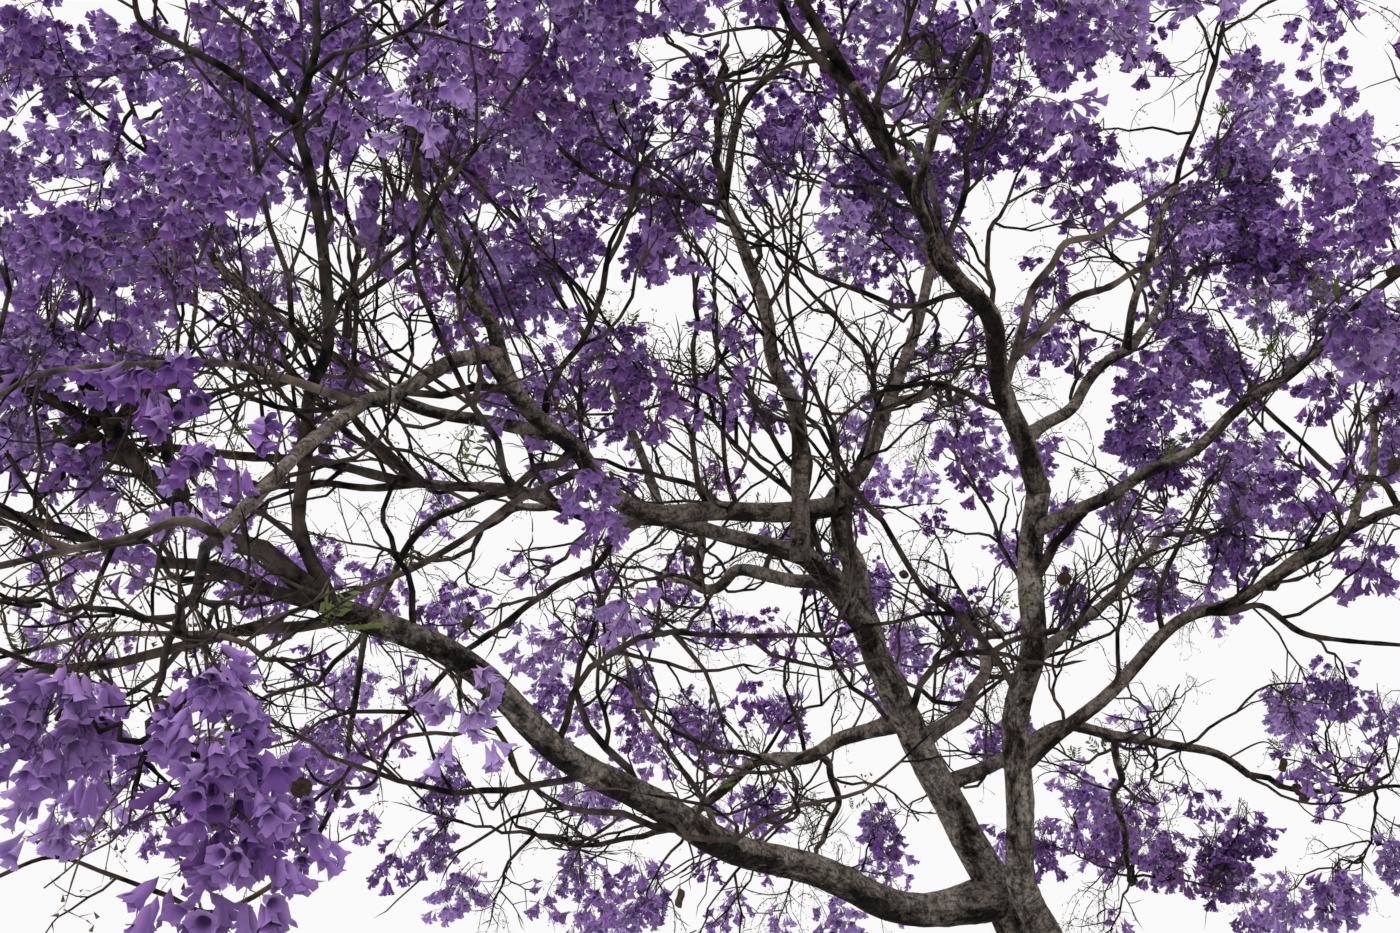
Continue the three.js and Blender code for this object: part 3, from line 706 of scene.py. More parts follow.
class Space:
    """A mass's own space: a flattened ball, cut by the planes that it shares with its neighbours."""

    def __init__(self, centre: Rows, size: float) -> None:
        """Takes the ball's centre and its radius."""
        self.centre = centre
        self.size = size
        self.walls: list[tuple[Rows, float]] = []

    def meet(self, other: "Space") -> None:
        """Shares a plane with a neighbour that is near enough."""
        way = other.centre - self.centre
        distance = float(np.linalg.norm(way))
        if distance <= self.size + other.size:
            share = distance * self.size / (self.size + other.size)
            self.walls.append((way / distance, share - MASS_ROOM))

    def holds(self, point: Rows, room: float = 0.0) -> bool:
        """Whether a point lies inside, at least a room's distance from the edge."""
        offset = point - self.centre
        if any(float(np.dot(offset, way)) > limit - room for way, limit in self.walls):
            return False
        flat = offset / np.array([1, 1, MASS_FLATNESS])
        return float(np.linalg.norm(flat)) <= self.size - room


@dataclass(frozen=True)
class Spray:
    """A fan of twigs that ends in blossom: where it starts, its way, its length and its width."""

    root: Rows
    way: Rows
    length: float
    width: float


@dataclass
class GrownMass:
    """A mass grown by the rule: its stem, its arms and its sprays."""

    plan: Mass
    space: Space
    stem: Runs
    stem_width: float
    arms: list[Runs] = field(default_factory=list)
    sprays: list[Spray] = field(default_factory=list)


class CrownRule:
    """The rule by which every mass grows from its bough, as in the source of the solids.

    The first sprays of each arm are the source's own. Further sprays fill the room between them.
    """

    FIRST_ARM = 0.45  # where the arms start on the stem, and the share of it that bears them
    ARM_SPREAD = 0.5
    OWN_PLACES = tuple(0.97 - 0.72 * i / SPRAYS_PER_ARM for i in range(SPRAYS_PER_ARM))
    FURTHER_PLACES = (0.8, 0.43, 0.9)  # along an arm, for the sprays that the solids leave out
    STEM_PLACES = (1.0, 0.86, 0.7)
    SHORTEST = 0.88  # a spray's least length and how much it may gain, as shares of the usual
    LENGTH_RANGE = 0.24
    FIT_SHARES = (1.0, 0.82, 0.66)
    WAIST_RANGE = 0.26
    NARROWEST = 0.8  # the least that a spray's corners stand out and how much they may gain, as shares
    WIDTH_RANGE = 0.4
    CHECKED = (0.25, 0.45, 0.6, 0.75, 0.9)  # along a spray's middle, which keeps clear of the limbs
    CLEAR_SHARE = 0.58  # of the spray's width

    def __init__(self, skeleton: Skeleton) -> None:
        """Takes the limbs that carry the masses and that twigs keep clear of."""
        self.skeleton = skeleton
        self.spaces = [self._space(mass) for mass in MASSES]
        for space in self.spaces:
            for other in self.spaces:
                if other is not space:
                    space.meet(other)

    def _space(self, mass: Mass) -> Space:
        """The space of a mass, beyond its bough's tip."""
        tip = self.skeleton.curves[mass.bough].point(1.0)
        return Space(tip + heading(mass.bearing, mass.climb) * mass.away, mass.size)

    def grow(self, index: int) -> GrownMass:
        """Grows one mass.

        Args:
            index: Its place in the list of masses, which also seeds it.

        Returns:
            The mass with its stem, arms and sprays.
        """
        plan = MASSES[index]
        space = self.spaces[index]
        dice = Dice(Seed.MASS + index)
        bough = self.skeleton.curves[plan.bough]
        grown = GrownMass(plan, space, self._stem(plan, space), STEM_GIRTH * bough.limb.tip)
        turn = 2 * math.pi * dice.roll()
        for i in range(ARMS):
            height = 1 - (2 * i + 1) / ARMS
            level = math.sqrt(1 - height * height)
            angle = turn + i * GOLDEN_ANGLE
            aim = np.array([level * math.cos(angle), level * math.sin(angle), height * MASS_FLATNESS])
            arm = self._arm(grown, self.FIRST_ARM + self.ARM_SPREAD * i / ARMS, aim)
            if arm is not None:
                grown.arms.append(arm)
                self._sprays_along(grown, arm, self.OWN_PLACES, True, dice)
        dice = Dice(Seed.FURTHER_SPRAYS + index)
        for arm in grown.arms:
            self._sprays_along(grown, arm, self.FURTHER_PLACES, False, dice)
        self._sprays_along(grown, grown.stem, self.STEM_PLACES, True, dice)
        return grown

    def _stem(self, mass: Mass, space: Space) -> Runs:
        """The stem that carries on from the bough's tip and turns up into the middle of the space."""
        bough = self.skeleton.curves[mass.bough]
        way = bough.tangent(1.0)
        foot = bough.point(1.0) + way * SEAT
        reach = float(np.linalg.norm(space.centre - foot))
        head = space.centre + UP * 0.1 * mass.size
        followed = foot + way * 0.35 * reach
        return Runs(BezierCurve(foot, followed, head - UP * 0.15 * reach, head), STEM_RUNS)

    def _arm(self, grown: GrownMass, start: float, aim: Rows) -> Runs | None:
        """An arm of the stem, drawn in until it keeps to the space and clear of every limb."""
        for reach in ARM_REACHES:
            end = grown.space.centre + aim * reach * grown.plan.size
            foot = grown.stem.point(start)
            length = float(np.linalg.norm(end - foot))
            knee = (foot + end) / 2 + grown.stem.tangent(start) * 0.18 * length
            arm = Runs(BezierCurve(foot, knee, end), ARM_RUNS)
            if self._arm_fits(arm, grown.space):
                return arm
        return None

    def _arm_fits(self, arm: Curve, space: Space) -> bool:
        """Whether an arm stays in its space and clear of the limbs."""
        points = arm.point(np.linspace(0, 1, 11))
        if not all(space.holds(point, TWIG_WIDTH / 2) for point in points):
            return False
        return bool(np.all(self.skeleton.clearance(points) >= TWIG_WIDTH / 2 + LIMB_ROOM))

    def _sprays_along(self, grown: GrownMass, arm: Curve, places: Sequence[float], tipped: bool,
                      dice: Dice) -> None:
        """Adds sprays along an arm or a stem, each turned on from the one before.

        Args:
            grown: The mass that takes them.
            arm: The arm or stem that they leave.
            places: Where they leave it, as fractions of its length.
            tipped: Whether the first one carries on from its end.
            dice: The run of numbers for their outlines.
        """
        turn = 2 * math.pi * dice.roll()
        for i, u in enumerate(places):
            self._spray(grown, arm, u, turn + GOLDEN_ANGLE * i, tipped and i == 0, dice)

    def _spray(self, grown: GrownMass, arm: Curve, u: float, angle: float, at_end: bool, dice: Dice) -> None:
        """Adds a spray at a fraction of an arm, at the first size that fits.

        Args:
            grown: The mass that takes it.
            arm: The arm it leaves.
            u: Where it leaves the arm.
            angle: The turn about the arm at which a side spray leaves.
            at_end: Whether it carries on from the arm's end.
            dice: The run of numbers for its outline.
        """
        root = arm.point(u)
        tangent = arm.tangent(u)
        out = unit(root - grown.space.centre)
        if at_end:
            way = unit((tangent + out) / 2)
        else:
            side = turned(unit(np.cross(tangent, UP)), tangent, angle)
            way = unit(out * 0.7 + side)
        vary = self.SHORTEST + self.LENGTH_RANGE * dice.roll()
        for share in self.FIT_SHARES:
            length = SPRAY_LENGTH * grown.plan.size * vary * share
            spray = Spray(root, way, length, SPRAY_WIDTH * grown.plan.size * share)
            if self._spray_fits(spray, grown.space, dice):
                grown.sprays.append(spray)
                return

    def _spray_fits(self, spray: Spray, space: Space, dice: Dice) -> bool:
        """Whether a spray's outline stays in the space and its middle clear of the limbs."""
        corners = [np.array([0, (1 - SPRAY_SUNK) * spray.length, 0])]
        for quarter in range(4):
            along = SPRAY_WAIST + self.WAIST_RANGE * (dice.roll() - 0.5)
            out = 0.5 * spray.width * (self.NARROWEST + self.WIDTH_RANGE * dice.roll())
            x = -math.cos(quarter * math.pi / 2) * out
            z = math.sin(quarter * math.pi / 2) * out
            corners.append(np.array([x, (along - SPRAY_SUNK) * spray.length, z]))
        turn = turn_onto(np.array([0.0, 1.0, 0.0]), spray.way)
        if not all(space.holds(spray.root + turn @ corner) for corner in corners):
            return False
        fractions = np.array(self.CHECKED)
        profile = np.minimum(fractions / SPRAY_WAIST, (1 - fractions) / (1 - SPRAY_WAIST))
        points = spray.root + np.multiply.outer(fractions * spray.length, spray.way)
        clear = self.skeleton.clearance(points)
        return bool(np.all(clear > self.CLEAR_SHARE * spray.width * profile + LIMB_ROOM))


@dataclass
class Arrays:
    """A small shape as arrays: its points, its triangles and the material of each triangle."""

    points: Rows
    faces: Rows
    slots: Rows

    @classmethod
    def joined(cls, parts: Sequence["Arrays"]) -> "Arrays":
        """Several shapes as one."""
        starts = np.cumsum([0] + [len(part.points) for part in parts[:-1]])
        return cls(
            np.concatenate([part.points for part in parts]),
            np.concatenate([part.faces + start for part, start in zip(parts, starts)]),
            np.concatenate([part.slots for part in parts]),
        )

    @classmethod
    def from_bmesh(cls, bm: bmesh.types.BMesh) -> "Arrays":
        """The triangles of a bmesh, which is freed."""
        bmesh.ops.triangulate(bm, faces=bm.faces)
        bm.verts.index_update()
        points = np.array([vert.co for vert in bm.verts], float)
        faces = np.array([[vert.index for vert in face.verts] for face in bm.faces], int)
        slots = np.array([face.material_index for face in bm.faces], int)
        bm.free()
        return cls(points, faces, slots)

    def placed(self, turn: Rows, scale: float, place: Rows) -> "Arrays":
        """A copy that is turned, scaled and moved."""
        return Arrays(self.points @ turn.T * scale + place, self.faces, self.slots)


def rod(points: Rows, radii: Rows, sides: int, pointed: bool = False) -> Arrays:
    """A thin tapering rod along a line.

    Args:
        points: The points of its middle line, one row each.
        radii: Its radius at each point.
        sides: How many faces it has round.
        pointed: Whether it ends in a point and starts inside what carries it. If not, both ends are closed.

    Returns:
        The rod as arrays.
    """
    tangents = unit(np.gradient(points, axis=0))
    chord = unit(points[-1] - points[0])
    normals = unit(np.cross(tangents, UP if abs(chord[2]) < STEEP else ACROSS))
    binormals = np.cross(tangents, normals)
    angles = 2 * np.pi * np.arange(sides) / sides
    cosines = np.cos(angles)[None, :, None]
    sines = np.sin(angles)[None, :, None]
    around = normals[:, None] * cosines + binormals[:, None] * sines
    rings = points[:, None] + around * np.asarray(radii)[:, None, None]
    count = len(points) - 1 if pointed else len(points)
    tip = points[-1] if pointed else points[-1] + tangents[-1] * radii[-1]
    places = np.concatenate([rings[:count].reshape(-1, 3), points[:1], tip[None]])
    here = np.arange(sides)
    following = (here + 1) % sides
    faces = []
    for ring in range(count - 1):
        a = ring * sides + here
        b = ring * sides + following
        faces.append(np.stack([a, b, b + sides], axis=1))
        faces.append(np.stack([a, b + sides, a + sides], axis=1))
    foot = count * sides
    last = foot - sides
    if not pointed:
        faces.append(np.stack([np.full(sides, foot), following, here], axis=1))
    faces.append(np.stack([last + here, last + following, np.full(sides, foot + 1)], axis=1))
    triangles = np.concatenate(faces)
    return Arrays(places, triangles, np.zeros(len(triangles), int))


def spike(start: Rows, end: Rows, width: float) -> Arrays:
    """A short three-sided stalk from its foot to a point."""
    return rod(np.array([start, end]), np.array([width / 2, 0.0]), 3, pointed=True)


def sliver(start: Rows, end: Rows, width: float) -> Arrays:
    """A stalk too thin to need sides: one long triangle from its foot to its tip."""
    side = aside(end - start) * width / 2
    return Arrays(np.array([start - side, start + side, end]), np.array([[0, 1, 2]]), np.zeros(1, int))


class NodeSheet:
    """A node material under construction, with one Principled shader."""

    def __init__(self, name: str) -> None:
        """Makes the material with its shader and output."""
        self.material = bpy.data.materials.new(name)
        self.material.use_nodes = True
        self.tree = self.material.node_tree
        self.tree.nodes.clear()
        self.shader = self.tree.nodes.new("ShaderNodeBsdfPrincipled")
        output = self.tree.nodes.new("ShaderNodeOutputMaterial")
        self.link(self.shader.outputs["BSDF"], output.inputs["Surface"])

    def link(self, source: Socket, target: Socket) -> None:
        """Joins two sockets."""
        self.tree.links.new(source, target)

    def add(self, kind: str, **settings: object) -> bpy.types.Node:
        """A new node of a kind, with properties set by name."""
        node = self.tree.nodes.new(kind)
        for key, value in settings.items():
            setattr(node, key, value)
        return node

    def set(self, **values: object) -> None:
        """Sets uniform values on the shader's own sockets, with _ for a space in a socket's name."""
        for key, value in values.items():
            self.shader.inputs[key.replace("_", " ")].default_value = value

    def feed(self, **sources: Socket) -> None:
        """Joins patterns to the shader's own sockets, with _ for a space in a socket's name."""
        for key, source in sources.items():
            self.link(source, self.shader.inputs[key.replace("_", " ")])

    def place(self, attribute: str | None = None) -> Socket:
        """The coordinates that patterns read: a point attribute, or the Object coordinates."""
        if attribute is None:
            return self.add("ShaderNodeTexCoord").outputs["Object"]
        return self.add("ShaderNodeAttribute", attribute_name=attribute).outputs["Vector"]

    def raised(self, factor: Socket, attribute: str, share: float) -> Socket:
        """A factor with a share of a point attribute added."""
        node = self.add("ShaderNodeMath", operation="MULTIPLY_ADD")
        self.link(self.add("ShaderNodeAttribute", attribute_name=attribute).outputs["Fac"], node.inputs[0])
        node.inputs[1].default_value = share
        self.link(factor, node.inputs[2])
        return node.outputs["Value"]

    def stretched(self, place: Socket, scale: Sequence[float]) -> Socket:
        """Coordinates that are scaled by a factor on each axis."""
        mapping = self.add("ShaderNodeMapping")
        mapping.inputs["Scale"].default_value = scale
        self.link(place, mapping.inputs["Vector"])
        return mapping.outputs["Vector"]

    def noise(self, place: Socket, scale: float, detail: float = 4.0,
              roughness: float = 0.55, distortion: float = 0.0) -> Socket:
        """A noise pattern's factor."""
        node = self.add("ShaderNodeTexNoise")
        self.link(place, node.inputs["Vector"])
        node.inputs["Scale"].default_value = scale
        node.inputs["Detail"].default_value = detail
        node.inputs["Roughness"].default_value = roughness
        node.inputs["Distortion"].default_value = distortion
        return node.outputs["Fac"]

    def ramp(self, factor: Socket, stops: Sequence[tuple[float, Sequence[float]]]) -> Socket:
        """A colour ramp over a factor, with stops of a position and a colour each."""
        node = self.add("ShaderNodeValToRGB")
        elements = node.color_ramp.elements
        while len(elements) < len(stops):
            elements.new(0.5)
        for element, (position, colour) in zip(elements, stops):
            element.position = position
            element.color = colour
        self.link(factor, node.inputs["Fac"])
        return node.outputs["Color"]

    def grey(self, factor: Socket, low: float = 0.0, high: float = 1.0,
             dark: float = 0.0, light: float = 1.0) -> Socket:
        """A factor's range from low to high, spread from dark to light."""
        node = self.add("ShaderNodeMapRange", clamp=True)
        self.link(factor, node.inputs["Value"])
        for key, value in (("From Min", low), ("From Max", high), ("To Min", dark), ("To Max", light)):
            node.inputs[key].default_value = value
        return node.outputs["Result"]

    def mixed(self, factor: Socket, first: object, second: object, blend: str = "MIX") -> Socket:
        """Two colours, or colour sockets, mixed by a factor."""
        node = self.add("ShaderNodeMix", data_type="RGBA", blend_type=blend)
        self.link(factor, node.inputs["Factor"])
        for key, value in (("A", first), ("B", second)):
            socket = next(s for s in node.inputs if s.name == key and s.type == "RGBA")
            if isinstance(value, Socket):
                self.link(value, socket)
            else:
                socket.default_value = value
        return next(s for s in node.outputs if s.type == "RGBA")

    def bump(self, height: Socket, distance: float, strength: float = 1.0,
             below: Socket | None = None) -> Socket:
        """A bump of a depth in metres, over another bump if one is given."""
        node = self.add("ShaderNodeBump")
        node.inputs["Distance"].default_value = distance
        node.inputs["Strength"].default_value = strength
        self.link(height, node.inputs["Height"])
        if below is not None:
            self.link(below, node.inputs["Normal"])
        return node.outputs["Normal"]


@dataclass(frozen=True)
class BarkFinish:
    """Mottled grey-brown bark with fine wrinkles round the limb and small cracks, whose hollows are darkened
    as painted shade, and dark patches, partly soot and partly painted shade, most of all on the underside.
    """

    name: str
    pale: Colour
    brown: Colour
    soot_and_shade: Colour
    crack_scale: float
    crack_depth: float
    # where the dark patches start and how far they fade in, and how much the underside adds to them: soot,
    # with painted shade below
    soot_and_shade_from: float = 0.5
    soot_and_shade_fade: float = 0.14
    soot_and_shade_below_share: float = 0.16

    def material(self) -> bpy.types.Material:
        """Makes the material, which reads a point's place on its straightened limb."""
        sheet = NodeSheet(self.name)
        place = sheet.place(BARK_PLACE)
        blotches = sheet.noise(place, scale=9.0, detail=6.0, roughness=0.66, distortion=0.5)
        base = sheet.ramp(blotches, ((0.34, self.brown), (0.66, self.pale)))
        along = sheet.stretched(place, (1.0, 1.0, 0.75))
        cracks = sheet.noise(along, scale=self.crack_scale, detail=6.0, roughness=0.7, distortion=0.6)
        furrow = sheet.grey(cracks, low=0.36, high=0.5)
        around = sheet.stretched(place, (0.3, 0.3, 1.0))
        wrinkles = sheet.noise(around, scale=95.0, detail=4.0, roughness=0.62, distortion=0.7)
        ring = sheet.grey(wrinkles, low=0.36, high=0.56)
        # painted shade: the hollows of the cracks and of the wrinkles are darkened towards the soot colour
        shaded = sheet.mixed(sheet.grey(furrow, dark=0.72, light=0.0), base, self.soot_and_shade)
        shaded = sheet.mixed(sheet.grey(ring, dark=0.5, light=0.0), shaded, self.soot_and_shade)
        long_patches = sheet.stretched(place, (1.0, 1.0, 0.5))
        patches = sheet.noise(long_patches, scale=11.0, detail=9.0, roughness=0.74, distortion=0.3)
        # soot patches, with painted shade added on the underside, which darkens as if in shade
        below = sheet.raised(patches, SOOT_AND_SHADE_BELOW, self.soot_and_shade_below_share)
        soot_and_shade_mask = sheet.grey(below, low=self.soot_and_shade_from, high=self.soot_and_shade_from + self.soot_and_shade_fade, light=0.92)
        low = sheet.bump(furrow, distance=self.crack_depth)
        sheet.feed(
            Base_Color=sheet.mixed(soot_and_shade_mask, shaded, self.soot_and_shade),
            Roughness=sheet.grey(blotches, low=0.3, high=0.7, dark=0.78, light=0.94),
            Normal=sheet.bump(ring, distance=0.0012, strength=0.9, below=low),
        )
        sheet.set(Specular_IOR_Level=0.05)
        return sheet.material


@dataclass(frozen=True)
class TwigFinish:
    """Smooth young bark in two tones, with darker knots and fine lenticels."""

    name: str
    pale: Colour
    dark: Colour

    def material(self) -> bpy.types.Material:
        """Makes the material on Object coordinates."""
        sheet = NodeSheet(self.name)
        place = sheet.place()
        tone = sheet.noise(place, scale=9.0, detail=4.0, roughness=0.65)
        base = sheet.ramp(tone, ((0.4, self.dark), (0.66, self.pale)))
        specks = sheet.noise(place, scale=260.0, detail=2.0, roughness=0.5)
        sheet.feed(
            Base_Color=sheet.mixed(sheet.grey(specks, low=0.58, high=0.7, light=0.5), base, self.dark),
            Roughness=sheet.grey(tone, low=0.3, high=0.7, dark=0.72, light=0.9),
            Normal=sheet.bump(specks, distance=0.0006, strength=0.7),
        )
        sheet.set(Specular_IOR_Level=0.08)
        return sheet.material


@dataclass(frozen=True)
class PetalFinish:
    """Soft petals in one plain tint, a little paler or deeper from place to place in the crown."""

    name: str
    tint: Colour
    shift: float = 0.16

    def material(self) -> bpy.types.Material:
        """Makes the material on Object coordinates."""
        sheet = NodeSheet(self.name)
        drift = sheet.noise(sheet.place(), scale=5.0, detail=2.0, roughness=0.5)
        deeper = scaled(self.tint, 1 - self.shift)
        paler = scaled(self.tint, 1 + self.shift)
        sheet.feed(Base_Color=sheet.ramp(drift, ((0.38, deeper), (0.62, paler))))
        sheet.set(Roughness=0.62, Specular_IOR_Level=0.15, Sheen_Weight=0.18, Sheen_Roughness=0.5)
        return sheet.material


@dataclass(frozen=True)
class PlainPartFinish:
    """A small part's finish in two close tones with a fine grain: stalks, pods and young leaves."""

    name: str
    pale: Colour
    dark: Colour
    grain: float
    depth: float
    roughness: float

    def material(self) -> bpy.types.Material:
        """Makes the material on Object coordinates."""
        sheet = NodeSheet(self.name)
        tone = sheet.noise(sheet.place(), scale=self.grain, detail=3.0, roughness=0.6)
        sheet.feed(
            Base_Color=sheet.ramp(tone, ((0.36, self.dark), (0.64, self.pale))),
            Normal=sheet.bump(tone, distance=self.depth, strength=0.8),
        )
        sheet.set(Roughness=self.roughness, Specular_IOR_Level=0.12)
        return sheet.material


@dataclass(frozen=True)
class FloorFinish:
    """A plain pale floor."""

    name: str
    colour: Colour
    shift: float = 0.04

    def material(self) -> bpy.types.Material:
        """Makes the material, with a faint unevenness."""
        sheet = NodeSheet(self.name)
        tone = sheet.noise(sheet.place(), scale=0.8, detail=3.0)
        darker = scaled(self.colour, 1 - self.shift)
        sheet.feed(Base_Color=sheet.ramp(tone, ((0.4, darker), (0.6, self.colour))))
        sheet.set(Roughness=0.8)
        return sheet.material


OLD_BARK = BarkFinish(
    "bark", srgb(160, 150, 139), srgb(102, 94, 86), srgb(7, 6, 6), crack_scale=58.0, crack_depth=0.004)
YOUNG_BARK = BarkFinish(
    "young_bark", srgb(154, 142, 131), srgb(94, 85, 78), srgb(8, 7, 7), crack_scale=72.0, crack_depth=0.002)
DEAD_BARK = BarkFinish(
    "dead_wood", srgb(112, 100, 90), srgb(66, 56, 50), srgb(7, 6, 6), crack_scale=40.0, crack_depth=0.003,
    soot_and_shade_from=0.44)
TWIG_BARK = TwigFinish("twig_bark", srgb(86, 76, 69), srgb(12, 10, 10))
# painted light: a paler copy of the twig bark, for the shoots that stand in full light
PAINTED_LIGHT_TWIG_BARK = TwigFinish("pale_twig_bark", srgb(128, 114, 103), srgb(46, 40, 37))
STALK = PlainPartFinish(
    "stalk", srgb(104, 88, 70), srgb(62, 50, 46), grain=30.0, depth=0.0004, roughness=0.75)
POD_WOOD = PlainPartFinish(
    "pod_wood", srgb(78, 62, 50), srgb(38, 30, 26), grain=90.0, depth=0.001, roughness=0.7)
YOUNG_LEAF = PlainPartFinish(
    "young_leaf", srgb(118, 130, 72), srgb(78, 92, 48), grain=14.0, depth=0.0004, roughness=0.55)
FLOOR = FloorFinish("floor", srgb(196, 195, 196))


class Tint(Enum):
    """The tints of the flowers: a name, the lobes' colour, the tube's colour and the share of panicles."""

    LAVENDER = ("lavender", srgb(217, 205, 236), srgb(177, 147, 205), 0.36)
    VIOLET = ("violet", srgb(196, 178, 221), srgb(154, 118, 184), 0.35)
    DEEP = ("deep_violet", srgb(168, 144, 200), srgb(128, 87, 160), 0.23)
    PINKISH = ("pinkish", srgb(192, 164, 208), srgb(150, 102, 170), 0.06)

    def __init__(self, label: str, lobes: Colour, tube: Colour, share: float) -> None:
        """Names the parts of a tint's row."""
        self.label = label
        self.lobes = lobes
        self.tube = tube
        self.share = share

    def finishes(self) -> list[PetalFinish]:
        """The finishes of the lobes and of the tube."""
        return [PetalFinish(f"petal_{self.label}", self.lobes), PetalFinish(f"tube_{self.label}", self.tube)]

    @classmethod
    def dealt(cls, chance: float) -> "Tint":
        """The tint that falls to a number from 0 to 1."""
        for tint in cls:
            chance -= tint.share
            if chance < 0:
                return tint
        return cls.LAVENDER


def publish(piece: bpy.types.Object, nodes: Iterable[str]) -> None:
    """Links a finished piece, sets it riding and hides the solids that it replaces.

    Args:
        piece: The finished object, at the origin.
        nodes: The solids that it replaces.
    """
    bpy.context.scene.collection.objects.link(piece)
    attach(piece, BODY)
    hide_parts(*nodes)
    log.info("%s: %d faces", piece.name, len(piece.data.polygons))


class Gathering:
    """Many small shapes that end up joined in pieces of a limited size."""

    LIMIT = 190_000  # triangles

    def __init__(self, name: str, slot: str, finishes: Sequence[object]) -> None:
        """Takes the pieces' name, their slot and the finishes of their faces."""
        self.name = name
        self.slot = slot
        self.finishes = finishes
        self.parts: list[Arrays] = []

    def add(self, part: Arrays) -> None:
        """Takes one more shape."""
        self.parts.append(part)

    def publish(self, nodes: Iterable[str]) -> None:
        """Joins the shapes into pieces, and hides the solids that they stand for."""
        materials = [finish.material() for finish in self.finishes]
        counts = np.cumsum([len(part.faces) for part in self.parts])
        pieces = max(1, math.ceil(counts[-1] / self.LIMIT))
        share = counts[-1] / pieces
        for number in range(pieces):
            chosen = [
                part for part, count in zip(self.parts, counts)
                if number == min(pieces - 1, int((count - 1) / share))
            ]
            name = self.name if pieces == 1 else f"{self.name}_{number + 1}"
            publish(self._object(name, Arrays.joined(chosen), materials), nodes)

    @staticmethod
    def _object(name: str, arrays: Arrays, materials: Sequence[bpy.types.Material]) -> bpy.types.Object:
        """An object whose mesh is filled straight from arrays."""
        mesh = bpy.data.meshes.new(name)
        count = len(arrays.faces)
        mesh.vertices.add(len(arrays.points))
        mesh.vertices.foreach_set("co", arrays.points.astype(np.float32).ravel())
        mesh.loops.add(3 * count)
        mesh.loops.foreach_set("vertex_index", arrays.faces.astype(np.int32).ravel())
        mesh.polygons.add(count)
        mesh.polygons.foreach_set("loop_start", np.arange(0, 3 * count, 3, dtype=np.int32))
        mesh.polygons.foreach_set("material_index", arrays.slots.astype(np.int32))
        mesh.polygons.foreach_set("use_smooth", np.ones(count, bool))
        for material in materials:
            mesh.materials.append(material)
        mesh.update(calc_edges=True)
        mesh.validate()
        return bpy.data.objects.new(name, mesh)


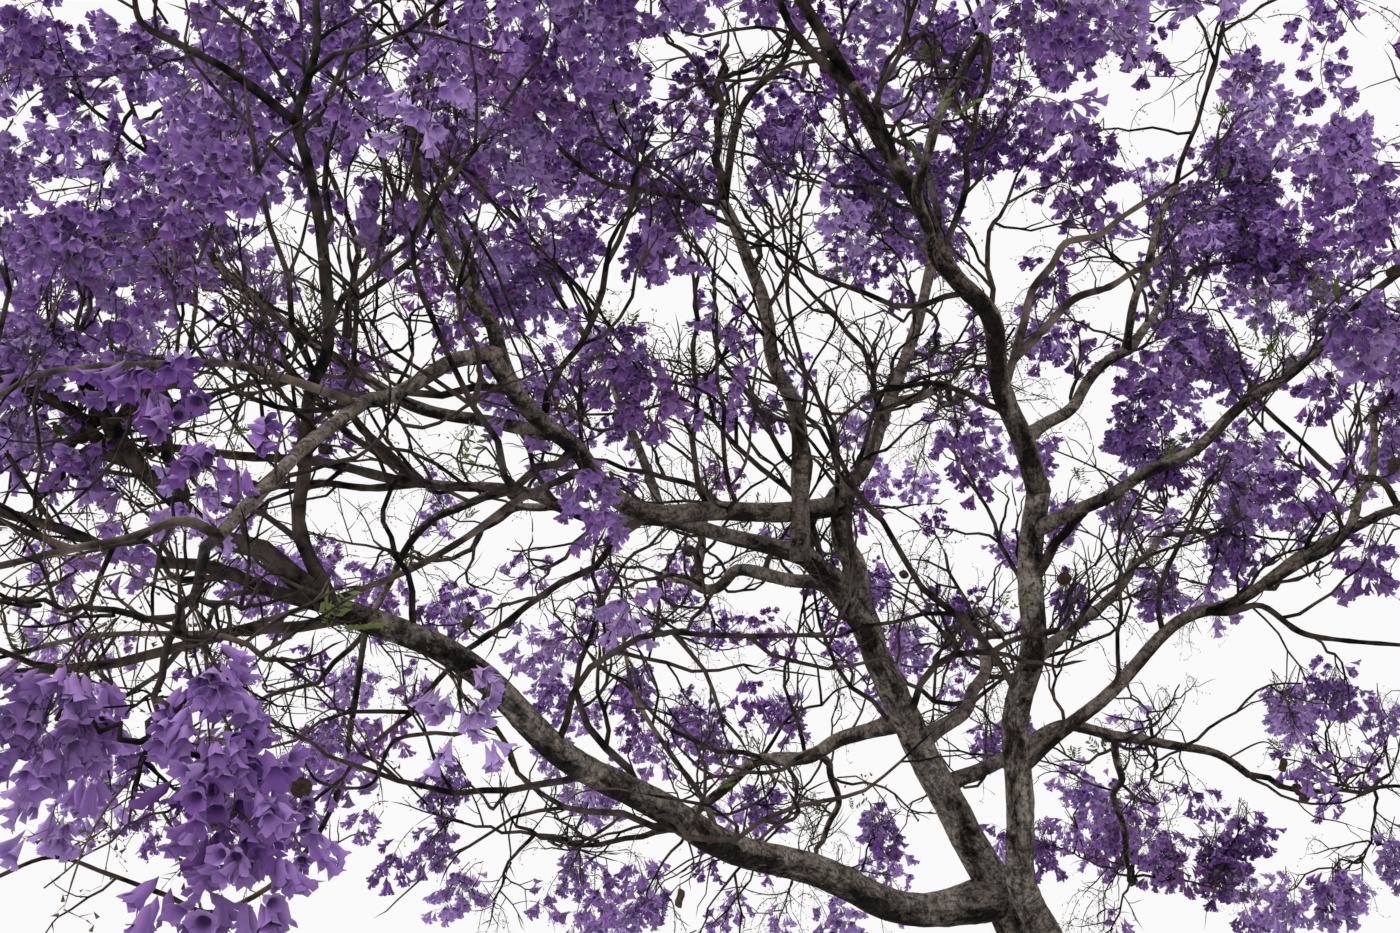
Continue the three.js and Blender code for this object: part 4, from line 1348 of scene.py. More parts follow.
@dataclass
class BarkSleeve:
    """The bark of one limb: a closed tube along its middle line, with relief, a collar and a rounded tip."""

    curve: LimbCurve
    parent: LimbCurve | None
    ring_gap: float = 0.017
    face_width: float = 0.011
    fewest_sides: int = 14
    dome_rings: int = 4
    overlap: float = 0.03  # how far inside its parent a limb starts that carries on from its end
    upright_foot: float = 0.15  # how high above its cut the trunk runs its own way
    widest_share: float = 1.5  # the most that a limb widens to meet its parent's end
    widening: float = 1.5  # in its parent's widths
    collar: float = 0.42  # how much a side limb widens at its foot
    collar_length: float = 1.1  # in its parent's widths
    lump: float = 0.035  # how far lumps stand out, as a share of the radius
    lump_scale: float = 8.0
    ridge: float = 0.0024  # how far ridges and wrinkles stand out, in metres
    ridge_scales: tuple[float, float] = (45.0, 34.0)  # across the limb and along it
    wrinkle: float = 0.0011
    wrinkle_scales: tuple[float, float] = (20.0, 110.0)
    knuckle: float = 0.09  # how far knuckles stand out, as a share of the radius
    knuckle_rise: float = 2.2
    knuckle_scale: float = 7.5
    knuckle_floor: float = 0.12
    thick: float = 0.06  # the radius from which ridges are full and knuckles least

    def radius(self, u: float, angle: float) -> float:
        """The smooth radius at a fraction of the way along and an angle round."""
        limb = self.curve.limb
        width = self.curve.width(min(1.0, max(0.0, u)))
        if limb.parent is None:
            fade = math.exp(-u * TRUNK_HEIGHT / FLARE_FADE)
            buttresses = 1 + BUTTRESS_DEPTH * fade * math.cos(BUTTRESSES * angle + 0.7)
            return (width + 2 * FLARE * fade) * buttresses / 2
        parent_width = self.parent.width(limb.at)
        away = max(0.0, u) * self.curve.length
        if limb.at > END_ON:
            blend = math.exp(-away / (self.widening * parent_width))
            wide = min(parent_width, self.widest_share * width)
            return (width + (wide - width) * blend) / 2
        fade = math.exp(-((away / (self.collar_length * parent_width)) ** 2))
        return width * (1 + self.collar * fade) / 2

    def stations(self) -> list[tuple[float, float]]:
        """The rings of the tube: a fraction of the way along, and a share of the full radius there."""
        step = self.ring_gap / self.curve.length
        if self.curve.limb.parent is None:
            first = 0.0
            rings = [(first, 0.0), (first, 1.0)]
        else:
            first = -self.overlap / self.curve.length if self.curve.limb.at > END_ON else 0.0
            rings = [(first, 0.0), (first, 0.8)]
        count = max(8, round((1 - first) / step))
        rings += [(first + (1 - first) * i / count, 1.0) for i in range(1, count + 1)]
        dome = self.curve.limb.tip / 2 / self.curve.length
        for k in range(1, self.dome_rings + 1):
            lean = k * math.pi / (2 * self.dome_rings)
            rings.append((1 + dome * math.sin(lean), max(0.0, math.cos(lean))))
        return rings

    def ring_frame(self, u: float) -> tuple[Rows, Rows, Rows]:
        """A ring's centre and the two directions that its angles are measured from."""
        curve = self.curve
        inside = min(1.0, max(0.0, u))
        tangent = curve.tangent(inside)
        if curve.limb.parent is None and u * TRUNK_HEIGHT < self.upright_foot:
            tangent = unit(UP + tangent * (u * TRUNK_HEIGHT / self.upright_foot))
        centre = curve.point(inside) + tangent * (u - inside) * curve.length
        chord = unit(curve.point(1.0) - curve.point(0.0))
        binormal = unit(np.cross(UP if abs(chord[2]) < STEEP else ACROSS, tangent))
        return centre, np.cross(tangent, binormal), binormal

    def relief(self, place: Vector, radius: float) -> float:
        """How far the bark stands out at a place on the straightened limb."""
        thick = min(1.0, radius / self.thick)
        lumps = noise.noise(place * self.lump_scale) * self.lump * radius
        ridges = self._pattern(place, *self.ridge_scales) * self.ridge * thick
        wrinkles = self._pattern(place, *self.wrinkle_scales) * self.wrinkle
        dealt = noise.noise(Vector((0.3, 0.7, place.z * self.knuckle_scale)))
        knuckles = max(0.0, dealt - self.knuckle_floor) * self.knuckle * radius * self.knuckle_rise
        return lumps + ridges + wrinkles + knuckles * (1.2 - thick)

    @staticmethod
    def _pattern(place: Vector, across: float, along: float) -> float:
        """A noise pattern at a place, with its scales across the limb and along it."""
        return noise.noise(Vector((place.x * across, place.y * across, place.z * along)))

    def build(self) -> bpy.types.Mesh:
        """Rolls a grid into the tube and shapes it.

        Returns:
            The finished mesh, closed and with the attributes that the bark's material reads.
        """
        limb = self.curve.limb
        rings = self.stations()
        sides = max(self.fewest_sides, round(math.pi * limb.base / self.face_width))
        frames = [self.ring_frame(u) for u, _ in rings]
        bm = bmesh.new()
        places = bm.verts.layers.float_vector.new(BARK_PLACE)
        soot_and_shade_below_layer = bm.verts.layers.float.new(SOOT_AND_SHADE_BELOW)
        bmesh.ops.create_grid(bm, x_segments=sides, y_segments=len(rings) - 1, size=1.0)
        shift = float(sum(map(ord, limb.name)) % 97)
        for vert in bm.verts:
            angle = round((vert.co.x + 1) * sides / 2) % sides * 2 * math.pi / sides
            ring = round((vert.co.y + 1) * (len(rings) - 1) / 2)
            u, share = rings[ring]
            centre, normal, binormal = frames[ring]
            c = math.cos(angle)
            s = math.sin(angle)
            smooth = self.radius(u, angle)
            out = normal * c + binormal * s
            straight = Vector((smooth * c, smooth * s, u * self.curve.length + shift))
            rough = smooth + self.relief(straight, smooth)
            vert.co = centre + out * rough * share
            vert[places] = straight
            # how far this side faces the ground, which the bark's material turns into soot and painted shade
            # below
            vert[soot_and_shade_below_layer] = max(0.0, -float(out[2]))
        bmesh.ops.remove_doubles(bm, verts=bm.verts, dist=1e-5)
        bmesh.ops.recalc_face_normals(bm, faces=bm.faces)
        for face in bm.faces:
            face.smooth = True
        mesh = bpy.data.meshes.new(f"{limb.name}_bark")
        bm.to_mesh(mesh)
        bm.free()
        return mesh

    def dress(self, mesh: bpy.types.Mesh, material: bpy.types.Material) -> None:
        """Gives the bark its material and makes it a piece that replaces the limb's solid."""
        mesh.materials.append(material)
        publish(bpy.data.objects.new(mesh.name, mesh), [self.curve.limb.name])


class FlowerForm:
    """Trumpet flowers in a few variants, each along +Z from its base, with five wide crinkled lobes."""

    LENGTH = 0.058
    FOOT_RADIUS = 0.002
    LOBES = 5
    TUBE_SLOT = 1  # the finish of the tube's faces, after that of the lobes
    THROAT = 0.185  # the throat's radius and height, as shares of the length
    THROAT_HEIGHT = 0.68
    BELLY = 1.32
    BELLY_SINK = 0.88
    FINE_ROWS = (0.55, 0.45)  # the rows of a fine lobe, as shares of its reach
    LOBE_REACH = 0.15
    SPREAD = 0.62
    BULGE = 1.3  # of a fine lobe's middle
    BULGE_LOSS = 0.5
    CRINKLE = 0.045

    def __init__(self, seed: int, fine: bool) -> None:
        """Takes the seed of its crinkles and whether it is seen from near by."""
        self.dice = Dice(seed)
        self.fine = fine

    def build(self) -> Arrays:
        """Makes the flower: a tube that widens to its throat, with a lobe extruded from each side there."""
        length = self.LENGTH
        bm = bmesh.new()
        bmesh.ops.create_cone(
            bm, cap_ends=False, segments=self.LOBES * (2 if self.fine else 1), radius1=self.FOOT_RADIUS,
            radius2=self.THROAT * length, depth=self.THROAT_HEIGHT * length)
        bmesh.ops.translate(bm, verts=bm.verts, vec=(0, 0, self.THROAT_HEIGHT * length / 2))
        if self.fine:
            self._belly(bm)
        foot = [vert for vert in bm.verts if vert.co.z < 0.1 * length]
        bmesh.ops.pointmerge(bm, verts=foot, merge_co=(0, 0, 0))
        for face in bm.faces:
            face.material_index = self.TUBE_SLOT
        self._lobes(bm)
        bend = self.dice.between(0.1, 0.3)
        for vert in bm.verts:
            vert.co.x += bend * vert.co.z * vert.co.z / length
        return Arrays.from_bmesh(bm)

    def _belly(self, bm: bmesh.types.BMesh) -> None:
        """Gives the tube the belly that it has between its narrow foot and its throat."""
        length = self.LENGTH
        rise = 0.3 * length
        sides = [edge for edge in bm.edges if abs(edge.verts[0].co.z - edge.verts[1].co.z) > rise]
        bmesh.ops.subdivide_edges(bm, edges=sides, cuts=1)
        for vert in bm.verts:
            if 0.2 * length < vert.co.z < 0.5 * length:
                x, y, z = vert.co
                vert.co = Vector((x * self.BELLY, y * self.BELLY, z * self.BELLY_SINK))

    def _lobes(self, bm: bmesh.types.BMesh) -> None:
        """Extrudes the lobes from the throat's edges, one or two edges to a lobe."""
        least = 0.6 * self.LENGTH
        throat = [edge for edge in bm.edges if min(vert.co.z for vert in edge.verts) > least]
        throat.sort(key=lambda edge: math.atan2(*(edge.verts[0].co + edge.verts[1].co).yx))
        edges_each = len(throat) // self.LOBES
        for k in range(self.LOBES):
            edges = throat[k * edges_each:(k + 1) * edges_each]
            for share in self.FINE_ROWS if self.fine else (1.0,):
                edges = self._lobe_row(bm, edges, share)

    def _lobe_row(self, bm: bmesh.types.BMesh, edges: list[bmesh.types.BMEdge],
                  share: float) -> list[bmesh.types.BMEdge]:
        """Extrudes one row of a lobe and crinkles its rim.

        Args:
            bm: The flower.
            edges: The edges that the row grows from.
            share: The row's share of the lobe's reach.

        Returns:
            The row's new outer edges.
        """
        made = bmesh.ops.extrude_edge_only(bm, edges=edges)["geom"]
        verts = [item for item in made if isinstance(item, bmesh.types.BMVert)]
        centre = sum((vert.co for vert in verts), Vector()) / len(verts)
        out = Vector((centre.x, centre.y, 0)).normalized()
        reach = share * self.LENGTH * self.LOBE_REACH * self.dice.between(0.85, 1.25)
        climb = share * self.LENGTH * self.dice.between(0.12, 0.32)
        spread = 1.0 + self.SPREAD * share * self.dice.between(0.85, 1.2)
        widest = max((vert.co - centre).length for vert in verts)
        for vert in verts:
            across = (vert.co - centre) * spread
            loss = self.BULGE_LOSS * (vert.co - centre).length / widest
            bulge = self.BULGE - loss if self.fine else 1.0
            crinkle = self.dice.between(-self.CRINKLE, self.CRINKLE) * self.LENGTH
            outward = out * (reach * bulge + crinkle * 0.4)
            vert.co = centre + across + outward + Vector((0, 0, climb * bulge + crinkle))
        return [item for item in made if isinstance(item, bmesh.types.BMEdge)
                and all(vert in verts for vert in item.verts)]


@dataclass
class PodForm:
    """A round flat woody pod in its own frame, hanging from its stalk's foot at the origin."""

    seed: int
    WIDTH = 0.062
    THICKNESS = 0.013
    WAVE = 0.35  # how far its rim waves, as a share of the thickness
    STALK = 0.03
    STALK_WIDTH = 0.005

    def build(self) -> Arrays:
        """Makes the pod: a flattened ball with a waved rim, under a short stalk."""
        dice = Dice(self.seed)
        bm = bmesh.new()
        bmesh.ops.create_icosphere(bm, subdivisions=2, radius=1.0)
        phase = dice.between(0, 2 * math.pi)
        for vert in bm.verts:
            angle = math.atan2(vert.co.z, vert.co.x)
            rim = math.hypot(vert.co.x, vert.co.z)
            wave = self.WAVE * self.THICKNESS * rim * math.sin(3 * angle + phase)
            vert.co = Vector((
                vert.co.x * self.WIDTH / 2,
                vert.co.y * self.THICKNESS / 2 * (1.25 - 0.5 * rim) + wave,
                vert.co.z * 0.45 * self.WIDTH - self.STALK - 0.45 * self.WIDTH,
            ))
        body = Arrays.from_bmesh(bm)
        foot = np.array([0.0, 0.0, -self.STALK - 0.004])
        return Arrays.joined([body, spike(foot, np.zeros(3), self.STALK_WIDTH)])


@dataclass
class LeafForm:
    """A sprig of young leaves: fine ribs with narrow leaflets in pairs, from its foot at the origin."""

    seed: int
    LENGTH = 0.13
    RIBS = 3
    RIB_WIDTH = 0.0018
    PAIRS = 5
    FIRST_PAIR = 0.3  # where the leaflets start on a rib, and the share of it that bears them
    PAIR_SPAN = 0.7
    LEAFLET = 0.3  # a leaflet's length, as a share of its rib's

    def build(self) -> Arrays:
        """Makes the sprig along +Z: each rib a spike, each leaflet a folded blade of two triangles."""
        dice = Dice(self.seed)
        parts = []
        for _ in range(self.RIBS):
            way = unit(UP + dice.way() * 0.6)
            length = self.LENGTH * dice.between(0.7, 1.1)
            parts.append(spike(np.zeros(3), way * length, self.RIB_WIDTH))
            side = unit(np.cross(way, dice.way()))
            for k in range(self.PAIRS):
                foot = way * length * (self.FIRST_PAIR + self.PAIR_SPAN * k / self.PAIRS)
                for hand in (-1, 1):
                    leaflet = unit(side * hand + way * 0.6 + dice.way() * 0.25)
                    parts.append(self._leaflet(foot, leaflet, length * self.LEAFLET))
        return Arrays.joined(parts)

    def _leaflet(self, foot: Rows, way: Rows, length: float) -> Arrays:
        """One narrow leaflet, folded a little along its rib."""
        side = unit(np.cross(way, UP + 0.2 * ACROSS)) * 0.17 * length
        waist = foot + way * 0.45 * length
        points = np.array([foot, waist - side, foot + way * length, waist + side - UP * 0.05 * length])
        return Arrays(points, np.array([[0, 1, 2], [0, 2, 3]]), np.zeros(2, int))


@dataclass(frozen=True)
class Panicle:
    """A hanging panicle in its own frame, with its stalk setting out towards +X: flowers and stalks apart."""

    flowers: Arrays
    stalks: Arrays
    reach: Rows  # the middle of its flowers


@dataclass
class PanicleForm:
    """How a panicle grows: an axis that sets out at a climb and bends down, with side stalks of flowers."""

    climb: float
    seed: int
    flowers: Sequence[Arrays]
    side_stalks: int = 7
    flowers_per_stalk: int = 5
    bare: bool = False
    length: float = 0.26
    joints: int = 5
    droop: float = 0.55  # how far the axis turns down at each joint
    radii: tuple[float, float] = (0.0028, 0.0014)
    first_stalk: float = 0.32  # where the side stalks start on the axis, and the share of it that bears them
    stalk_span: float = 0.66
    stalk_width: float = 0.0026
    stalk_reach: float = 0.3  # the longest side stalk, as a share of the length
    flower_span: float = 0.66  # the share of a side stalk that bears flowers
    scatter: float = 0.012
    flower_stalk: float = 0.01
    flower_stalk_width: float = 0.0024
    middle: float = 0.6  # of a flower, as a share of its length
    cup_width: float = 0.0075
    remnants: int = 6
    remnant_width: float = 0.0022

    def build(self) -> Panicle:
        """Grows the panicle.

        Returns:
            Its flowers and stalks as arrays, and the middle of its flowers.
        """
        dice = Dice(self.seed)
        axis = self._axis(dice)
        stalks = [rod(axis, np.linspace(*self.radii, len(axis)), 3, pointed=True)]
        blooms: list[Arrays] = []
        places = []
        for k in range(self.side_stalks):
            share = self.first_stalk + self.stalk_span * k / (self.side_stalks - 1)
            foot, way = self._along(axis, share)
            side = turned(aside(way, 0.2), way, GOLDEN_ANGLE * k + self.seed)
            fullness = self.stalk_reach - 0.2 * abs(share - 0.55)
            reach = self.length * fullness * dice.between(0.8, 1.15)
            end = foot + unit(side + way * 0.4 - UP * 0.2) * reach
            stalks.append(spike(foot, end, self.stalk_width))
            ahead = self._along(axis, min(1.0, share + 0.05))[0]
            for j in range(self.flowers_per_stalk):
                along = 1.0 - self.flower_span * j / self.flowers_per_stalk
                base = foot + (end - foot) * along + dice.way() * self.scatter
                out = unit(base - ahead)
                place = base + out * self.flower_stalk
                start = foot + (end - foot) * along * 0.9
                stalks.append(sliver(start, place, self.flower_stalk_width))
                if self.bare:
                    stalks.append(self._cup(place, dice))
                    continue
                way_out = unit(0.6 * out - 0.8 * UP + 0.38 * dice.way())
                blooms.append(self._flower(place, way_out, dice))
                places.append(place + way_out * self.middle * FlowerForm.LENGTH)
        stalks += self._remnants(axis, dice)
        middle = np.mean(places, axis=0) if places else axis[-1]
        flowers = Arrays.joined(blooms) if blooms else stalks[0]
        return Panicle(flowers, Arrays.joined(stalks), middle)

    def _axis(self, dice: Dice) -> Rows:
        """The axis's points, bending from its first way towards the ground."""
        way = heading(0, self.climb)
        points = [np.zeros(3)]
        for _ in range(self.joints):
            points.append(points[-1] + way * self.length / self.joints)
            way = unit(way - UP * self.droop + dice.way() * 0.14)
        return np.array(points)

    @staticmethod
    def _along(axis: Rows, share: float) -> tuple[Rows, Rows]:
        """A point on the axis and the way it runs there."""
        place = share * (len(axis) - 1)
        index = min(len(axis) - 2, int(place))
        step = axis[index + 1] - axis[index]
        return axis[index] + step * (place - index), unit(step)

    def _flower(self, place: Rows, way: Rows, dice: Dice) -> Arrays:
        """One flower at the end of its stalk."""
        shape = dice.pick(self.flowers)
        turn = turn_onto(UP, way)
        spin = dice.between(0, 2 * math.pi)
        return shape.placed(turn @ about_up(spin), dice.between(0.8, 1.12), place)

    def _cup(self, place: Rows, dice: Dice) -> Arrays:
        """The small dark cup that is left where a flower has dropped."""
        way = unit(dice.way() - 0.4 * UP)
        return spike(place + way * 0.009, place - way * 0.003, self.cup_width)

    def _remnants(self, axis: Rows, dice: Dice) -> list[Arrays]:
        """Short spent stalks with their cups, near the top of the axis."""
        made = []
        for k in range(self.remnants):
            foot, _ = self._along(axis, 0.1 + 0.08 * k)
            way = unit(dice.way() - 0.2 * UP)
            end = foot + way * dice.between(0.02, 0.055)
            made.append(sliver(foot, end, self.remnant_width))
            made.append(self._cup(end, dice))
        return made


class PanicleStore:
    """Every small form that the crown repeats, ready for placing: panicles, pods and sprigs of leaves."""

    CLIMBS = (-50.0, -5.0, 35.0, 75.0)
    VARIANTS = 4
    SEEDS_APART = 17  # between the first variants of two climbs
    FLOWER_VARIANTS = 6
    POD_VARIANTS = 3
    SPRIG_VARIANTS = 4

    def __init__(self) -> None:
        """Grows the forms."""
        plain = [FlowerForm(Seed.FLOWER + k, fine=False).build() for k in range(self.FLOWER_VARIANTS)]
        fine = [FlowerForm(Seed.FINE_FLOWER + k, fine=True).build() for k in range(self.FLOWER_VARIANTS)]
        self.plain = self._forms(plain)
        self.fine = self._forms(fine)
        self.spent = self._forms(plain, side_stalks=4, flowers_per_stalk=2, bare=True)
        self.pods = [PodForm(Seed.POD + k).build() for k in range(self.POD_VARIANTS)]
        self.sprigs = [LeafForm(Seed.SPRIG + k).build() for k in range(self.SPRIG_VARIANTS)]

    def _forms(self, flowers: Sequence[Arrays], **sizes: object) -> list[list[Panicle]]:
        """The variants for each climb, with sizes of their own by name."""
        return [
            [PanicleForm(climb, Seed.PANICLE + self.SEEDS_APART * row + k, flowers, **sizes).build()
             for k in range(self.VARIANTS)]
            for row, climb in enumerate(self.CLIMBS)
        ]

    def pick(self, forms: list[list[Panicle]], way: Rows, dice: Dice) -> Panicle:
        """A variant of the form whose climb is nearest to a way."""
        climb = math.degrees(math.asin(max(-1.0, min(1.0, float(way[2])))))
        row = min(range(len(self.CLIMBS)), key=lambda k: abs(self.CLIMBS[k] - climb))
        return dice.pick(forms[row])


def crooked(start: Rows, way: Rows, length: float, joints: int, crook: float,
            lift: float, dice: Dice) -> Rows:
    """The middle line of a crooked shoot.

    Args:
        start: Where it leaves its parent.
        way: The way it sets out.
        length: Its length.
        joints: How many straight runs it is made of.
        crook: How far each run turns from the last, from 0 to 1.
        lift: How much it turns up at each joint, or down where it is below 0.
        dice: The run of numbers for its turns.

    Returns:
        Its points, one row each.
    """
    points = [start]
    for _ in range(joints):
        points.append(points[-1] + way * length / joints)
        way = unit(way + dice.way() * crook + UP * lift)
    return np.array(points)


@dataclass
class Crown:
    """The twigs, flowers, spent panicles, pods and young leaves of the whole tree."""

    skeleton: Skeleton
    rule: CrownRule
    store: PanicleStore
    lowest: Rows
    highest: Rows
    near_enough: float = 2.75  # metres from the eye within which the flowers are the fine ones
    pods_from: float = 3.75  # metres from the eye; no pod hangs nearer by chance
    box_room: float = 0.12  # how far inside the solids' box the flowers' middles stay
    limb_room: float = 0.03  # and how far from the limbs
    spent_until: float = 0.2  # a bare end's chances, up to each kind
    pod_until: float = 0.206
    leaves_until: float = 0.224
    bunch_size: float = 0.1  # the radius of a panicle's flowers, for what they hide
    shy: float = 0.88  # the share of panicles in front of a limb that are left out
    thinnest: float = 0.36  # how full of blossom the picture's middle is
    right_most: float = 0.55  # its right side at most
    sparse: float = 0.45  # its left side at most, along the row of near limbs
    beyond: float = 1.4  # and what lies outside it
    fade: float = 200.0  # this and the next five are pixels of the picture
    row_height: float = 130.0
    left_edge: float = 400.0
    bare_row: float = 550.0
    top_edge: float = 290.0
    right_edge: float = 1080.0
    spray_width: float = 0.011  # a spray's twig at most, in metres and as a share of its mass's stem
    spray_share: float = 0.34
    spray_reach: float = 0.66  # as a share of the rule's spray
    hanging_loss: float = 0.26
    own_tint: float = 0.6  # the chance that a panicle has its spray's tint, and its bunch's
    bunch_tint: float = 0.65
    bunch_room: float = 0.072  # the radius that a panicle takes of a bunch
    bunch_twig: tuple[float, float] = (0.0065, 0.0035)

    def __post_init__(self) -> None:
        """Marks where the limbs show, and readies a gathering for each kind of small form."""
        self.limbs_in_view = LimbsInView(self.skeleton)
        self.grown: dict[str, GrownMass] = {}
        self.twigs = Gathering("twigs", "bark", [TWIG_BARK])
        # the shoots in full light, in the paler twig bark that is painted light
        self.painted_light_twigs = Gathering("near_shoots", "bark", [PAINTED_LIGHT_TWIG_BARK])
        self.stalks = Gathering("flower_stalks", "bark", [STALK])
        self.flowers = {tint: Gathering(f"flowers_{tint.label}", "blossom", tint.finishes()) for tint in Tint}
        self.pods = Gathering("seed_pods", "dead_wood", [POD_WOOD])
        self.leaves = Gathering("young_leaves", "blossom", [YOUNG_LEAF])

    def inside(self, point: Rows, room: float) -> bool:
        """Whether a point lies in the solids' box, at least a room's distance from its sides."""
        return bool(np.all(point > self.lowest + room) and np.all(point < self.highest - room))

    def fullness(self, point: Rows) -> float:
        """How full of blossom the picture is where a point falls: most at its top and left."""
        x, y, depth = VIEW.seen(point)
        in_width = -self.fade < x < VIEW.width + self.fade
        in_height = -self.fade < y < VIEW.height + self.fade
        if depth <= 0 or not in_width or not in_height:
            return self.beyond
        left = (self.left_edge - x) / self.fade
        if abs(y - self.bare_row) < self.row_height:
            left = min(left, self.sparse)
        top = (self.top_edge - y) / self.fade
        right = self.right_most * min(1.0, (x - self.right_edge) / self.fade)
        return min(1.0, max(self.thinnest, left, top, right))

    def in_gap(self, point: Rows) -> bool:
        """Whether a point falls where the picture shows open sky."""
        x, y, depth = VIEW.seen(point)
        return depth > 0 and any(gap.covers(x, y) for gap in SKY_GAPS)

    def keeps_view(self, middle: Rows, dice: Dice) -> bool:
        """Whether blossom round a point leaves the picture's open sky, and most of the limbs in view."""
        x, y, depth = VIEW.seen(middle)
        if depth <= 0:
            return True
        if self.in_gap(middle):
            return False
        size = self.bunch_size * VIEW.pixels_at(depth)
        return dice.roll() > self.shy or not self.limbs_in_view.hidden_by(x, y, depth, size)

    def hang_panicle(self, root: Rows, way: Rows, tint: Tint, dice: Dice, chosen: bool = False) -> bool:
        """Hangs a panicle in flower from a twig's end, if it has room and leaves open what the picture shows.

        Args:
            root: The twig's end.
            way: The way the twig ends.
            tint: The tint of its flowers.
            dice: The run of numbers for its form.
            chosen: Whether it belongs to a bunch that the picture shows, which may hide a limb.

        Returns:
            Whether it was hung.
        """
        near = VIEW.distance(root) < self.near_enough
        if near and tint is not Tint.DEEP:
            tint = Tint.VIOLET
        panicle = self.store.pick(self.store.fine if near else self.store.plain, way, dice)
        turn = about_up(math.atan2(way[1], way[0]))
        scale = dice.between(0.82, 1.12)
        middle = root + turn @ panicle.reach * scale
        clear = self.skeleton.clearance(middle[None])[0] >= self.limb_room
        if not (clear and self.inside(middle, self.box_room)):
            return False
        if not chosen and not self.keeps_view(middle, dice):
            return False
        self.flowers[tint].add(panicle.flowers.placed(turn, scale, root))
        self.stalks.add(panicle.stalks.placed(turn, scale, root))
        return True

    def end_bare(self, end: Rows, way: Rows, dice: Dice) -> None:
        """Ends a twig that bears no flowers: in a spent panicle, a pod, young leaves or nothing."""
        chance = dice.roll() if self.inside(end, self.box_room) else 1.0
        if chance < self.spent_until:
            spent = self.store.pick(self.store.spent, way, dice)
            turn = about_up(math.atan2(way[1], way[0]))
            self.stalks.add(spent.stalks.placed(turn, dice.between(0.7, 1.0), end))
        elif chance < self.pod_until:
            if VIEW.distance(end) >= self.pods_from:
                pod = dice.pick(self.store.pods)
                turn = about_up(dice.between(0, 2 * math.pi))
                self.pods.add(pod.placed(turn, dice.between(0.85, 1.15), end))
        elif chance < self.leaves_until:
            sprig = dice.pick(self.store.sprigs)
            self.leaves.add(sprig.placed(turn_onto(UP, unit(way + UP)), dice.between(0.7, 1.1), end))

    def grow_mass(self, index: int) -> None:
        """Grows one mass and dresses it with twigs and flowers."""
        grown = self.rule.grow(index)
        self.grown[grown.plan.name] = grown
        dice = Dice(Seed.MASS_DRESS + index)
        fractions = np.linspace(0, 1, 10)
        taper = 1 - 0.5 * fractions
        width = grown.stem_width
        stem = self._uneven(grown.stem.point(fractions), width, dice)
        self.twigs.add(rod(stem, width / 2 * taper, 8))
        for arm in grown.arms:
            line = self._uneven(arm.point(fractions), width * 0.8, dice)
            self.twigs.add(rod(line, width * ARM_GIRTH / 2 * taper, 6))
        for spray in grown.sprays:
            self._grow_spray(spray, grown, dice)

    def _uneven(self, points: Rows, amount: float, dice: Dice) -> Rows:
        """A line whose inner points are pushed aside a little, so that it runs crooked."""
        moved = points.copy()
        for k in range(1, len(points) - 1):
            moved[k] += dice.way() * amount * 0.55
        return moved

    def _grow_spray(self, spray: Spray, grown: GrownMass, dice: Dice) -> None:
        """Grows one spray: a crooked twig with side twigs, which all end in flowers or all bare."""
        width = min(self.spray_width, self.spray_share * grown.stem_width)
        down = max(0.0, -float(spray.way[2]))
        reach = spray.length * (self.spray_reach - self.hanging_loss * down)
        line = crooked(spray.root, spray.way, reach, joints=5, crook=0.24, lift=0.05, dice=dice)
        self.twigs.add(rod(line, width / 2 * np.linspace(1, 0.45, len(line)), 4, pointed=True))
        tint = Tint.dealt(dice.roll())
        blooms = dice.roll() < grown.plan.bloom * self.fullness(line[-1])
        ends = [(line[-1], end_way(line))]
        side = aside(spray.way, 0.4)
        turn = dice.between(0, 2 * math.pi)
        for k in range(3):
            way = unit(turned(side, spray.way, turn + GOLDEN_ANGLE * k) + spray.way * 0.7)
            length = spray.width * dice.between(0.2, 0.34)
            twig = crooked(line[1 + k], way, length, joints=3, crook=0.3, lift=0.05, dice=dice)
            self.twigs.add(rod(twig, width / 2 * np.linspace(0.6, 0.35, len(twig)), 3, pointed=True))
            ends.append((twig[-1], end_way(twig)))
        for end, way in ends:
            own = tint if dice.roll() < self.own_tint else Tint.dealt(dice.roll())
            if not (blooms and self.hang_panicle(end, way, own, dice)):
                self.end_bare(end, way, dice)

    def grow_bunch(self, bunch: Bunch, seed: int) -> None:
        """Grows a bunch that stands out in the picture: a twig from its mass's nearest arm, and its panicles.

        Args:
            bunch: The bunch.
            seed: The seed of its twigs and panicles.
        """
        dice = Dice(seed)
        grown = self.grown[bunch.mass]
        depth = VIEW.seen(grown.space.centre)[2]
        middle = VIEW.place(bunch.x, bunch.y, depth)
        radius = bunch.radius / VIEW.pixels_at(depth)
        feet = np.concatenate([line.point(np.linspace(0.3, 1, 12)) for line in (*grown.arms, grown.stem)])
        top = middle + UP * 0.5 * radius
        foot = feet[int(np.argmin(np.linalg.norm(feet - top, axis=1)))]
        arch = UP * 0.12 * float(np.linalg.norm(top - foot))
        smooth = BezierCurve(foot, (foot + top) / 2 + arch, top)
        line = self._uneven(smooth.point(np.linspace(0, 1, 8)), 0.035, dice)
        self.twigs.add(rod(line, np.linspace(*self.bunch_twig, len(line)), 5))
        tint = Tint.dealt(dice.roll())
        for k in range(max(2, round((radius / self.bunch_room) ** 2))):
            spot = middle + dice.way() * radius * 0.6 * dice.roll() ** 0.4
            own = tint if dice.roll() < self.bunch_tint else Tint.dealt(dice.roll())
            self._hang_at(spot, line[-1 - k % 3], own, dice)

